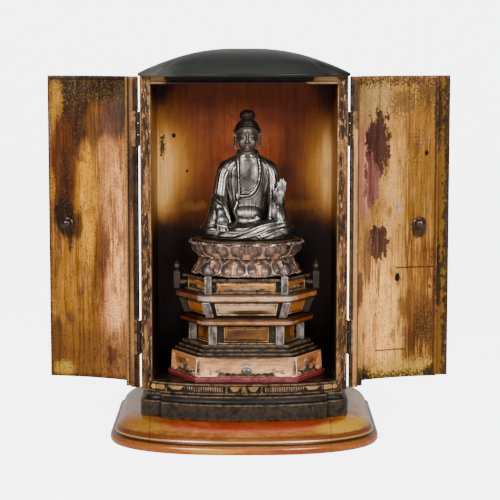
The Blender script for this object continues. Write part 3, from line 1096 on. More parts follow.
def makeLeaf(side, level, part):   # a leaf on the outer edge with its knuckles
    look, leafLook = hingeLook, hingeLook[part]
    sign, z = doorLook[side]["sign"], look[level]
    half, r, knuckle, soft = look["length"] / 2, look["barrel"], look["knuckle"], look["round"]
    inner, outer = sorted(sign * x for x in leafLook["x"])
    back, front = (frontY + y for y in leafLook["y"])
    bm = bmesh.new()
    merge(bm, board((inner, back, z - half), (outer, front, z + half), 0.2, 1))
    profile = [(0, 0), (r - soft, 0), (r, soft), (r, knuckle - soft), (r - soft, knuckle), (0, knuckle)]
    for place in leafLook["knuckles"]:
        low = z - half + place * (knuckle + look["knuckleGap"])
        merge(bm, lathe(profile, 24, Matrix.Translation((sign * pin.x, frontY + look["pinY"], low))))
        a, b = sorted((sign * pin.x, sign * look["strapIn"]))
        strapBack, strapFront = (frontY + y for y in leafLook["strapY"])
        merge(bm, board((a, strapBack, low), (b, strapFront, low + knuckle), 0.15, 1))
    onDoor = part == "door"
    finishPiece(bm, side + level.title() + part.title() + "Leaf", "hinge_iron", [hingeIron],
                [f"{side}_{level}_{part}_leaf"], side + "_door_leaf" if onDoor else "cabinet",
                turn=doorMatrix(sign) if onDoor else None)


for side in ("left", "right"):
    makeKnob(side)
    for level in ("upper", "lower"):
        makeLeaf(side, level, "door")
        makeLeaf(side, level, "post")
print("knobs and hinges made")


# Threshold with its carved front

thresholdLook = {"flute": 2.6, "low": 60.4, "high": 66.0, "half": 105, "bow": 28}


def thresholdDepth(x, inset=0.0):
    t = min(abs(x) / (thresholdLook["half"] - inset), 1)
    return -(thresholdLook["bow"] - inset) * (1 - t ** 2.5) ** (1 / 1.5) + frontY - 0.3


def thresholdPoint(x, z, out):   # a place on the curved front, out in front of its recessed face
    slope = (thresholdDepth(x + 0.2, 0.4) - thresholdDepth(x - 0.2, 0.4)) / 0.4
    normal = Vector((slope, -1, 0)).normalized()
    return Vector((x, thresholdDepth(x, 0.4), z)) + normal * out


def laid(bm, place):   # from flat to its place on a face
    for v in bm.verts:
        v.co = place(*v.co)
    return bm


# Flat carving: an outline in the face's plane, given depth and soft edges.
def reliefPlate(points, place, thick, edge=0.25):
    bm = bmesh.new()
    face = bm.faces.new([bm.verts.new((u, v, 0)) for u, v in points])
    top = only(bmesh.types.BMVert, bmesh.ops.extrude_face_region(bm, geom=[face])["geom"])
    bmesh.ops.translate(bm, vec=(0, 0, thick), verts=top)
    softBevel(bm, [e for e in bm.edges if all(v in top for v in e.verts)], edge)
    return laid(bm, place)


def makeThreshold():
    bm = bmesh.new()
    steps = [(-1.4, 57.8), (-1.4, 59), (0.4, 60), (0.4, 66.4), (-0.8, 67.4), (-0.8, 69), (4, 69)]
    profile = rounded(steps, 0.5, 3)
    ts = [math.sin(i / 40 * math.pi / 2) for i in range(41)]

    def outline(inset):
        xs = [(thresholdLook["half"] - inset) * t for t in ts]
        return bothSides([Vector((x, thresholdDepth(x, inset))) for x in xs])
    merge(bm, stacked(outline, profile), material=0)
    low, high = thresholdLook["low"], thresholdLook["high"]
    for sign in (-1, 1):
        for x in np.arange(24, 66, thresholdLook["flute"]):   # fluting
            foot = low + 2.2 * max(0, (x - 48) / 18) ** 2
            points = [thresholdPoint(sign * x, z, 0.1) for z in (foot, foot + 0.6, high - 0.5, high)]
            merge(bm, tube(points, [0.5, 0.95, 0.95, 0.6], 8), material=0)
        plates = [
            [(67, high), (85, high), (80, low + 1.6), (71, low + 1.6)],
            [(88.5, low + 0.6), (97.5, low + 0.6), (97.5, high), (88.5, high)],
            [(7, low + 1.4), (12.5, low + 0.4), (16, high), (4.5, high)],
        ]
        for plate in plates:
            points = [(sign * u, v) for u, v in plate]
            merge(bm, reliefPlate(points, thresholdPoint, 0.5), material=1)
        for x, r in ((2.2, 1.3), (19.5, 1.5), (86.6, 1.2)):
            heights = (low - 0.3, low + 0.4, (low + high) / 2, high - 0.4, high + 0.3)
            points = [thresholdPoint(sign * x, z, 0.1) for z in heights]
            merge(bm, tube(points, [r, r * 0.8, r * 0.6, r * 0.8, r], 10), material=0)
        for k in range(7):   # flower knob at each end
            angle = math.tau * k / 6
            r = 0 if k == 6 else 1.9
            centre = thresholdPoint(sign * (101 + r * math.cos(angle)), 63.2 + r * math.sin(angle), 0.1)
            merge(bm, ball(centre, (1.25, 0.9, 1.25), 10, 6), material=1)
    merge(bm, reliefPlate([(-1, low), (1, low), (4, high), (-4, high)], thresholdPoint, 0.4), material=1)
    finishPiece(bm, "thresholdCarved", "carved_gilding", [blackLacquer, carvedGilding], ["threshold"])


makeThreshold()
print("threshold made")


# Stand, six-sided tiers one on another

standX, standY = 2.5, -13.5
standLook = {
    "board": {"size": (56.5, 90, 60), "corner": 1.5,
              "profile": [(0, 69.3), (0, 73.6), (0.6, 74.2), (4, 74.2)]},
    "apron": {
        "size": (54, 86.5, 57), "corner": 5, "blackFrom": 96.7,
        "profile": [(0, 74.5), (0, 76.0), (1.6, 76.8), (2.9, 79), (3.5, 83), (3.4, 87), (2.5, 91.5),
                    (0.9, 94.4), (0.4, 95.4), (0.4, 96.6), (3.2, 96.9), (3.4, 97.3), (3.4, 100.2),
                    (6.8, 100.6), (7, 101.1), (7, 104.1), (10.4, 104.5), (10.6, 105), (10.6, 108.5),
                    (20, 108.5)],
        "bracket": [(1, 94), (0.93, 95), (0.9, 90), (0.88, 84), (0.8, 80.4), (0.66, 79.6), (0.6, 77.5),
                    (0.66, 75.2), (1, 75.2)],
    },
    "waist": {"size": (36, 58, 40), "profile": [(0, 108.8), (0, 130.8)], "corner": 0.6,
              "posts": (37.5, 61, 41.5), "post": (4.6, 4), "span": (108.8, 130.8), "panel": (111.6, 128.2),
              "rails": ((108.9, 110.2), (129.4, 130.7))},
    "lower": {"size": (49.5, 77, 52), "corner": 6,
              "profile": [(9, 131.1), (1.6, 131.1), (0.3, 131.7), (0, 132.6), (0, 137.2), (0.4, 138.3),
                          (1.4, 139), (9, 139)]},
    "slanted": {"size": (45.5, 75, 49), "profile": [(9, 139.3), (3, 157.2)], "corner": 1,
                "feet": (40.5, 66, 42.5), "heads": (45, 73, 48), "post": (4.4, 4), "span": (139.3, 157.2),
                "panel": (141.6, 155.4)},
    "upper": {"size": (48.5, 82, 54), "corner": 7,
              "profile": [(9, 157.5), (1.4, 157.5), (0.3, 158.1), (0, 159), (0, 164.6), (0.4, 165.6),
                          (1.4, 166.3), (9, 166.3)]},
    "rail": {
        "size": (40, 70, 46), "corner": 1, "posts": (42.5, 79, 49.5), "post": (3.9, 3.9),
        "span": (166.6, 186.4), "panel": (168.0, 178.8), "bar": 174, "barRadius": 2.6, "barReach": 16,
        "cloudFoot": 169.8,
        "profile": [(0, 166.6), (0, 167.4), (1.2, 168), (1.2, 178.6), (0, 179.4), (-1.9, 180), (-2.2, 180.6),
                    (-2.2, 182.5), (-1.6, 183), (6, 183)],
        "finial": [(0, 19.8), (3.0, 20.0), (2.7, 20.8), (3.1, 21.6), (4.4, 22.8), (5.0, 24.4), (4.9, 26.4),
                   (4.0, 28.6), (2.6, 30.4), (1.4, 31.6), (0.7, 32.5), (0, 32.9)],
        "cloud": [(-0.9, 0), (0.9, 0), (0.98, 1.0), (0.7, 2.4), (0.5, 3.4), (0.3, 3.9), (0, 5.0), (-0.3, 3.9),
                  (-0.5, 3.4), (-0.7, 2.4), (-0.98, 1.0)],
    },
}


def hexCorners(size):
    front, widest, depth = size
    corners = [(-front, -depth), (front, -depth), (widest, 0), (front, depth), (-front, depth), (-widest, 0)]
    return [Vector((x + standX, y + standY)) for x, y in corners]


def shrunk(size, inset):
    return size[0] - inset * 0.6, size[1] - inset * 1.15, size[2] - inset


def hexOutline(size, corner):
    def outline(inset):
        line = []
        pts = hexCorners(shrunk(size, inset))
        for i, p in enumerate(pts):
            before, after = (pts[i - 1] - p).normalized(), (pts[(i + 1) % 6] - p).normalized()
            line += [bend(p + before * corner, p, p + after * corner, k / 6) for k in range(7)]
            end, nextStart = p + after * corner, pts[(i + 1) % 6] - after * corner
            line += [end.lerp(nextStart, k / 8) for k in range(1, 8)]
        return line
    return outline


def hexTier(name):
    look = standLook[name]
    return stacked(hexOutline(look["size"], look["corner"]), rounded(look["profile"], 0.3, 2))


def hexPlace(size, index):   # u along the face, v up, w outwards
    pts = hexCorners(size)
    start, end = pts[index], pts[(index + 1) % 6]
    length = (end - start).length
    u = ((end - start) / length).to_3d()
    w = Vector((u.y, -u.x, 0))
    middle = ((start + end) / 2).to_3d()

    def place(a, b, c):
        return middle + u * a + Vector((0, 0, b)) + w * c
    return place, length


def boxOnFace(place, low, high, edge=0.3):
    return laid(board(low, high, edge), place)


def framedPanel(bm, place, half, heights, rail, proud, taper=0.0, frameMat=0):
    low, high = heights

    def shaped(a, b, c):
        return place(a * (1 - taper * (high - b) / (high - low)), b, c)
    for a, b, c, d in ((-half, low, half, low + rail), (-half, high - rail, half, high),
                       (-half, low + rail, rail - half, high - rail),
                       (half - rail, low + rail, half, high - rail)):
        merge(bm, boxOnFace(shaped, (a, b, -1), (c, d, proud)), frameMat)
    inner, gap = half - rail - 0.8, rail + 0.8
    field = boxOnFace(shaped, (-inner, low + gap, -1), (inner, high - gap, proud * 0.45), 0.35)
    merge(bm, field, 0)


def standPost(look, x=0, y=0):
    wide, deep = look["post"]
    low, high = look["span"]
    return board((x - wide, y - deep, low), (x + wide, y + deep, high), 0.9, 3)


def finishTier(bm, name, main, node):
    finishPiece(bm, name, "carved_gilding", [main, blackLacquer, tarnish], [node])


def makeBaseBoard():
    finishPiece(hexTier("board"), "standRedBoard", "red_lacquer", [redLacquer], ["stand_base_board"])


def scroll(place, centre, size, coils, sign):
    points = []
    for k in range(22):
        t = k / 21
        angle = sign * (t * coils * math.tau) + math.pi / 2
        r = size * (1 - 0.8 * t)
        points.append(place(centre[0] + math.cos(angle) * r, centre[1] + math.sin(angle) * r, 0.3))
    return tube(points, [0.9 * (1 - 0.45 * k / 21) for k in range(22)], 8)


def makeApron():
    look = standLook["apron"]
    bm = hexTier("apron")
    for face in bm.faces:
        face.material_index = 1 if face.calc_center_median().z > look["blackFrom"] else 0
    bulge = look["profile"]

    def faceInset(z):
        for (a, za), (b, zb) in zip(bulge, bulge[1:]):
            if za <= z <= zb and zb > za:
                return a + (b - a) * (z - za) / (zb - za)
        return bulge[0][0]
    for index in range(6):
        flat, length = hexPlace(look["size"], index)

        def place(a, b, c):
            return flat(a, b, c - faceInset(min(max(b, 74.6), 95.2)) * (1.0 if index in (0, 3) else 1.02))
        half = length / 2 - 3
        scallops = 15 if index in (0, 3) else 9
        points = [(-half, 74.9), (half, 74.9)]
        crest = []
        for k in range(scallops * 4 + 1):   # cusped lower border, higher at the ends
            t = k / (scallops * 4)
            u = half - 2 * half * t
            rise = 5.2 * abs(2 * t - 1) ** 2.2 + 1.9 + 1.1 * abs(math.sin(t * scallops * math.pi))
            crest.append((u, 75.4 + rise))
        merge(bm, reliefPlate(points + crest, place, 0.9, 0.3), material=1)
        for sign in (-1, 1):   # corner brackets ending in scrolls
            points = [(sign * half * a, b) for a, b in look["bracket"]]
            merge(bm, reliefPlate(points, place, 1.3, 0.5), material=0)
            merge(bm, scroll(place, (sign * half * 0.62, 80.6), 3.1, 1.3, sign), material=2)
            merge(bm, scroll(place, (sign * half * 0.93, 91.6), 2.3, 1.2, -sign), material=2)
            merge(bm, ball(place(sign * half * 0.8, 77.6, 0.6), (4.4, 1.4, 2.1), 16, 8), material=2)
        turn = Matrix.Rotation(math.atan2(*(flat(1, 0, 0) - flat(0, 0, 0)).yx), 4, "Z")
        merge(bm, ball(place(0, 80.6, 0.1), (6.3, 2.2, 4.6), 24, 14, turn), material=2)
        for k in range(5):   # flower over the boss
            angle = math.pi * (0.1 + 0.2 * k)
            centre = place(3.6 * math.cos(angle), 87.6 + 2.6 * math.sin(angle), 0.2)
            merge(bm, ball(centre, (1.9, 1.2, 1.6), 12, 8, turn), material=2)
    finishTier(bm, "standApron", apronGilding, "stand_apron_tier")


def makeWaist():
    look = standLook["waist"]
    bm = bmesh.new()
    merge(bm, hexTier("waist"), material=1)
    for x, y in hexCorners(look["posts"]):
        merge(bm, standPost(look, x, y), material=2)
    for index in range(6):
        place, length = hexPlace(look["size"], index)
        framedPanel(bm, place, length / 2 - 11, look["panel"], 1.5, 1.7)
        for low, high in look["rails"]:
            merge(bm, boxOnFace(place, (-length / 2 + 4, low, -1), (length / 2 - 4, high, 1.4)), material=1)
    finishTier(bm, "standWaist", carvedGilding, "stand_waist")


def makeSlabs():
    for name, node in (("lower", "stand_lower_slab"), ("upper", "stand_upper_slab")):
        finishPiece(hexTier(name), "stand" + name.title() + "Slab", "carved_gilding", [slabGilding], [node])


def makeSlanted():
    look = standLook["slanted"]
    bm = bmesh.new()
    merge(bm, hexTier("slanted"), material=1)
    low, high = look["span"]
    for foot, head in zip(hexCorners(look["feet"]), hexCorners(look["heads"])):
        post = standPost(look)
        for v in post.verts:   # leaning outwards
            v.co += foot.lerp(head, (v.co.z - low) / (high - low)).to_3d()
        merge(bm, post, material=2)
    for index in range(6):
        lowPlace = hexPlace(shrunk(look["size"], 9), index)[0]
        highPlace, highLength = hexPlace(shrunk(look["size"], 3), index)

        def place(a, b, c):
            return lowPlace(a, b, c).lerp(highPlace(a, b, c), (b - low) / (high - low))
        framedPanel(bm, place, highLength / 2 - 8.5, look["panel"], 1.3, 1.1, 0.07)
    finishTier(bm, "standSlanted", slantGilding, "stand_slanted_tier")


def makeRail():
    look = standLook["rail"]
    bm = bmesh.new()
    merge(bm, hexTier("rail"), material=1)
    centre = Vector((standX, standY))
    for corner in hexCorners(look["posts"]):
        merge(bm, standPost(look, *corner), material=2)
        merge(bm, lathe(look["finial"], 28, Matrix.Translation((*corner, look["span"][0]))), material=2)
        inner = corner + (centre - corner).normalized() * look["barReach"]
        merge(bm, tube([(*corner, look["bar"]), (*inner, look["bar"])], look["barRadius"], 12), material=1)
    for index in range(6):
        place, length = hexPlace((look["size"][0] - 0.7, look["size"][1] - 1.4, look["size"][2] - 1.2), index)
        framedPanel(bm, place, length / 2 - 6.5, look["panel"], 0.9, 1.5, frameMat=1)
        half = length / 2 - 12
        cloudLine = [(half * a, look["cloudFoot"] + b) for a, b in look["cloud"]]
        merge(bm, reliefPlate(cloudLine, lambda a, b, c: place(a, b, c + 0.7), 0.6, 0.2), material=1)
    finishTier(bm, "standRail", carvedGilding, "stand_rail_tier")


makeBaseBoard()
makeApron()
makeWaist()
makeSlabs()
makeSlanted()
makeRail()
print("stand made")


# Lotus seat

lotusLook = {
    "lower": {
        "half": (61, 50), "count": 12, "node": "lotus_lower", "slot": "carved_gilding",
        "core": [(0.7, 183.3), (0.82, 183.6), (0.84, 187), (0.82, 194), (0.78, 200), (0.76, 203.6)],
        "back": {"foot": (0.78, 203.2), "tip": (0.91, 185), "width": 0.82, "cup": 1.4,
                 "lobes": [(-0.4, 0.22, 0.26, 0.15, 2.2), (0.4, 0.22, 0.26, 0.15, 2.2),
                           (0, 0.75, 0.3, 0.2, 1.4)]},
        "front": {"foot": (0.79, 203.2), "tip": (0.96, 184.4), "width": 0.96, "cup": 2.2,
                  "lobes": [(-0.5, 0.68, 0.28, 0.22, 2.6), (0.5, 0.68, 0.28, 0.22, 2.6),
                            (0, 0.2, 0.34, 0.16, 2.6)]},
    },
    "upper": {
        "half": (64.5, 52), "count": 10, "node": "lotus_upper", "slot": "figure_bronze",
        "core": [(0.62, 203.9), (0.74, 204.1), (0.83, 207.5), (0.87, 213), (0.885, 218.5), (0.89, 222.8),
                 (0.88, 223.9), (0.865, 224.2)],
        "back": {"foot": (0.82, 205.6), "tip": (0.955, 223.6), "width": 0.82, "cup": 1.4,
                 "lobes": [(0, 0.6, 0.3, 0.3, 1.2)]},
        "front": {"foot": (0.8, 204.9), "tip": (0.96, 223.2), "width": 0.96, "cup": 2.2,
                  "lobes": [(-0.47, 0.5, 0.26, 0.3, 2.6), (0.47, 0.5, 0.26, 0.3, 2.6)]},
    },
}


def petal(width, length, lobes, cup):   # an oval leaf along +w with two swellings and a raised rim
    bm = bmesh.new()
    bmesh.ops.create_grid(bm, x_segments=26, y_segments=18, size=1)
    for v in bm.verts:
        u, t = v.co.x, (v.co.y + 1) / 2
        spread = 0.42 + 0.58 * math.sin(min(t / 0.5, 1) * math.pi / 2)
        if t > 0.7:
            spread *= math.sqrt(max(1 - ((t - 0.7) / 0.32) ** 2.2, 0.001))
        swell = math.sin(min(max(t * 1.05, 0), 1) * math.pi) ** 0.55
        dome = sum(math.exp(-(((u - m) / w) ** 2) - ((t - n) / h) ** 2) * tall for m, n, w, h, tall in lobes)
        rim = 0.9 * math.exp(-((abs(u) - 0.95) / 0.06) ** 2) + 0.7 * math.exp(-((t - 0.97) / 0.04) ** 2)
        ridge = 0.9 * math.exp(-(u / 0.07) ** 2) * min(t * 3, 1)
        curl = 24 * max(t - 0.72, 0) ** 2
        v.co = (u * spread * width / 2, cup * (1 - u * u) * swell + dome + rim + ridge + curl, t * length)
    bmesh.ops.recalc_face_normals(bm, faces=bm.faces[:])
    bmesh.ops.solidify(bm, geom=bm.faces[:], thickness=0.9)
    return bm


def ringPlace(half, angle, size=1.0, z=0.0):
    return Vector((standX + math.cos(angle) * half[0] * size, standY + math.sin(angle) * half[1] * size, z))


def makeLotus(name):
    look = lotusLook[name]
    half, count = look["half"], look["count"]
    bm = bmesh.new()
    rings = [[ringPlace(half, angle, size, z) for angle in turns(96)] for size, z in look["core"]]
    merge(bm, ringStack(rings), material=1)
    upper = name == "upper"
    for back in (True, False):
        leafLook = look["back" if back else "front"]
        for k in range(count):
            angle = math.tau * (k + (0.5 if back == upper else 0.0)) / count - math.pi / 2
            u = (ringPlace(half, angle + 0.01) - ringPlace(half, angle - 0.01)).normalized()
            out = Vector((u.y, -u.x, 0))
            step = math.pi / count
            pitch = (ringPlace(half, angle + step) - ringPlace(half, angle - step)).length
            low, high = (ringPlace(half, angle, *leafLook[key]) for key in ("foot", "tip"))
            rise = high - low
            leaf = petal(pitch * leafLook["width"], rise.length, leafLook["lobes"], leafLook["cup"])
            w = u.cross(rise).normalized()
            w = w if w.dot(out) > 0 else -w
            laid(leaf, lambda a, b, c: low + u * a + rise.normalized() * c + w * b)
            for face in leaf.faces:
                middle = face.calc_center_median() - low
                share, across = middle.dot(rise) / rise.length_squared, abs(middle.dot(u)) / pitch
                face.material_index = 2 if across < 0.1 and (share < 0.4 if upper else share > 0.35) else 0
            merge(bm, leaf)
    mats = [lotusBronze, blackLacquer, lotusGold]
    finishPiece(bm, name + "Lotus", look["slot"], mats, [look["node"]], sharp=60)


makeLotus("lower")
makeLotus("upper")
print("lotus made")


# Seated figure, laid out round its own middle with z counted from the seat

figureLook = {
    "place": (3.6, -13.5, 224.6), "voxel": 0.9, "headVoxel": 0.46,
    "lap": [(52, 34, 0, -1), (53.5, 36, 3, -1), (53, 36, 8, -1), (49, 33, 13, -1), (38, 27, 17, 0),
            (26, 21, 21, 4)],
    "torso": [(28, 20, 12, 6), (26, 18, 22, 6.5), (25.5, 16.6, 32, 6.5), (25.5, 16.6, 44, 6.5),
              (26.5, 16.8, 54, 6.5), (29, 16.8, 64, 6), (31, 15.8, 73, 6), (31, 14.4, 80, 6),
              (27, 12.8, 85.5, 6), (21, 11.4, 89.5, 5.5), (15, 10.2, 92.5, 5), (10.5, 9.4, 95, 4)],
    "sleeve": [(5.6, 7, 87.5, 20.5, 5.5), (7.6, 9.5, 83.5, 23.6, 5), (8.2, 10.8, 78, 26.2, 4),
               (8.6, 11.5, 68, 28, 3), (9, 11.8, 58, 29.6, 1.5), (9.2, 12.2, 49, 31, -0.5),
               (9.2, 13.5, 41, 32.4, -3), (9.4, 15.5, 33, 34.2, -6), (10, 16.5, 25, 36.2, -8),
               (11, 16, 17, 38.6, -9), (11.5, 15, 9, 40.5, -9)],
}


def ellipseStack(levels, sides=44, side=1):   # half width, half depth, height, then the middle's place
    rings = []
    for level in curved(levels, 4):
        wide, deep, z, *middle = level
        x, y = (side * middle[0], middle[1]) if len(middle) == 2 else (0, middle[0])
        rings.append([(x + math.cos(a) * wide, y + math.sin(a) * deep, z) for a in turns(sides)])
    return ringStack(rings)


def limb(points, radii, sides=16, flat=1.0, up=(0, 0, 1)):   # a soft rounded bar with ball ends
    stations = curved([(*p, r) for p, r in zip(points, radii)], 5)
    bm = tube([s[:3] for s in stations], [s[3] for s in stations], sides, flat, up)
    for *place, r in (stations[0], stations[-1]):
        merge(bm, ball(place, (r * flat, r * flat, r), 14, 8))
    return bm


def fuse(parts, voxel, smooth, name):   # one skin over overlapping forms
    bm = bmesh.new()
    for part in parts:
        merge(bm, part)
    obj = meshObject(bm, name)
    remesh = obj.modifiers.new("skin", "REMESH")
    remesh.mode = "VOXEL"
    remesh.voxel_size = voxel
    graph = bpy.context.evaluated_depsgraph_get()
    skin = bpy.data.meshes.new_from_object(obj.evaluated_get(graph))
    bpy.data.objects.remove(obj)
    bm = bmesh.new()
    bm.from_mesh(skin)
    bpy.data.meshes.remove(skin)
    for _ in range(smooth):
        relax(bm, 0.5)
    return bm


# Draws folds on a skin: a stroke is points in x and z, width, height, and the front or the back.
def carve(bm, strokes):
    bm.normal_update()
    bm.verts.ensure_lookup_table()
    tree = BVHTree.FromBMesh(bm)
    at = np.array([v.co for v in bm.verts])
    normal = np.array([v.normal for v in bm.verts])
    move = np.zeros(len(at))
    for points, width, height, side in strokes:
        line = []
        for p in curved([(x, z, 0) for x, z in points], 10):
            hit = tree.ray_cast(Vector((p.x, 90 * side, p.y)), Vector((0, -side, 0)))[0]
            if hit is not None:
                line.append(hit)
        if len(line) < 2:
            continue
        line = np.array(line)
        reach = 3.2 * width
        near = np.where(((at > line.min(0) - reach) & (at < line.max(0) + reach)).all(1))[0]
        away = np.full(len(near), 1e9)
        where = np.zeros(len(near))
        for k, (a, b) in enumerate(zip(line, line[1:])):
            span = b - a
            size = float(span @ span)
            if size > 60:
                continue
            t = np.clip(((at[near] - a) @ span) / max(size, 1e-9), 0, 1)
            gap = np.linalg.norm(at[near] - (a + t[:, None] * span), axis=1)
            closer = gap < away
            away[closer] = gap[closer]
            where[closer] = (k + t[closer]) / (len(line) - 1)
        taper = np.clip(np.minimum(where, 1 - where) * 7, 0.15, 1)
        d = away / width
        lift = 0.8 * height * taper * (1.35 * np.exp(-d ** 2) - 0.55 * np.exp(-(d / 2.0) ** 2))
        old = move[near]
        move[near] = np.where(np.abs(lift) > np.abs(old) * 0.6, old * 0.4 + lift, old + lift * 0.4)
    for v, p in zip(bm.verts, at + normal * move[:, None]):
        v.co = p


def bodyParts():
    look = figureLook
    parts = [ellipseStack(look["lap"]), ellipseStack(look["torso"])]
    for side in (-1, 1):
        parts += [ellipseStack(look["sleeve"], 36, side), ball((side * 36, -7, 10), (17.5, 22, 9.5), 28, 18)]
    parts += [
        limb([(42, -10, 11), (26, -21, 13), (6, -28, 11), (-14, -31, 8), (-28, -29, 5)], [9, 9, 8, 6.5, 4.5]),
        limb([(-42, -10, 10), (-26, -20, 11), (-8, -25, 10)], [9, 8.5, 7]),
        ball((0, -4, 26), (19, 11.5, 13), 28, 18),
        # the raised forearm and hand
        limb([(33, -6, 42), (36, -14, 42), (36.5, -20, 44.5)], [8.5, 7.5, 5], 18),
        limb([(36.5, -19, 43), (36.8, -21.5, 46.5)], [3.6, 3.9], 14),
        ball((37, -22.5, 51), (5.6, 2.7, 6.4), 20, 12),
    ]
    for x, top in ((33.9, 65.4), (36.9, 68.6), (39.8, 68.4), (42.3, 65.2)):
        lean = (x - 37) * 0.06
        finger = [(x - lean, -22.6, 55), (x, -23.6, 60), (x + lean * 2, -23.0, top)]
        parts.append(limb(finger, [1.75, 1.6, 1.15], 12))
    parts += [
        limb([(32.8, -22, 48.5), (31.0, -24.4, 52.5), (31.8, -25.2, 57.5)], [2.1, 1.7, 1.2], 12),
        # the lowered hand over the shin
        limb([(-34, -8, 42), (-33.5, -15, 39), (-32, -19.5, 36)], [8.5, 7.5, 5.5], 18),
        limb([(-31.5, -20, 36), (-30, -24.5, 31)], [3.8, 4.4], 14),
        limb([(-29.8, -25.5, 29.5), (-28.6, -29.5, 22.5)], [5.4, 5.2], 18, 0.62, (1, 0, 0)),
    ]
    for x0, x1, y1, z1 in ((-32.8, -33.2, -33.2, 12.5), (-30.0, -29.2, -35.0, 10.2),
                           (-27.0, -25.6, -35.2, 10.4), (-24.4, -22.4, -33.8, 12.6)):
        finger = [(x0, -30, 22), ((x0 + x1) / 2, (y1 - 31.2) / 2 - 0.6, 17.5), (x1, y1, z1)]
        parts.append(limb(finger, [1.8, 1.65, 1.2], 12))
    collar = [(0, 13, 97.5), (8, 10, 97.8), (11, 3.5, 96.4), (11.6, -3.5, 92)]
    left = [(-x, y, z) for x, y, z in collar]
    left += [(-10.8, -7.2, 86), (-10.2, -9.4, 76), (-9.8, -10.2, 64), (-9.4, -10.4, 50)]
    right = collar + [(13.2, -6.8, 86), (14.2, -8.2, 77), (13.2, -9.2, 67), (10.6, -9.8, 59), (6, -10.4, 52),
                      (0, -10.8, 48.6), (-8.5, -10.4, 47.6)]
    return parts + [
        limb([(-25.4, -27.5, 26), (-22.3, -29.6, 22), (-20.8, -30.6, 18)], [2, 1.7, 1.2], 12),
        # sleeve mouths, robe ends, the collar and the sash
        limb([(26.5, -6, 60), (26, -11, 46), (26.5, -16, 38), (26, -19, 30), (24.5, -21, 20)],
             [3, 3, 3, 3, 2.5], 12),
        limb([(-25.5, -12, 44), (-25, -17, 37), (-22.5, -19, 29), (-20, -22, 20)], [3, 3, 3, 2.5], 12),
        limb([(-10.5, -9.5, 52), (-12, -11.5, 40), (-15, -14.5, 31), (-11.5, -19.5, 23), (-15, -26, 15.5)],
             [2, 2.4, 2.6, 2.4, 2], 12),
        limb(left, [1.8] * 4 + [1.6] * 4, 12),
        limb(right, [1.8] * 4 + [1.6] * 7, 12),
        limb([(-12, -17.5, 22.5), (0, -21, 20.5), (13, -17.5, 23)], [2.6, 3, 2.6], 12),
        ball((10, -17.5, 25), (3.6, 2.6, 3.2), 16, 10),
    ]


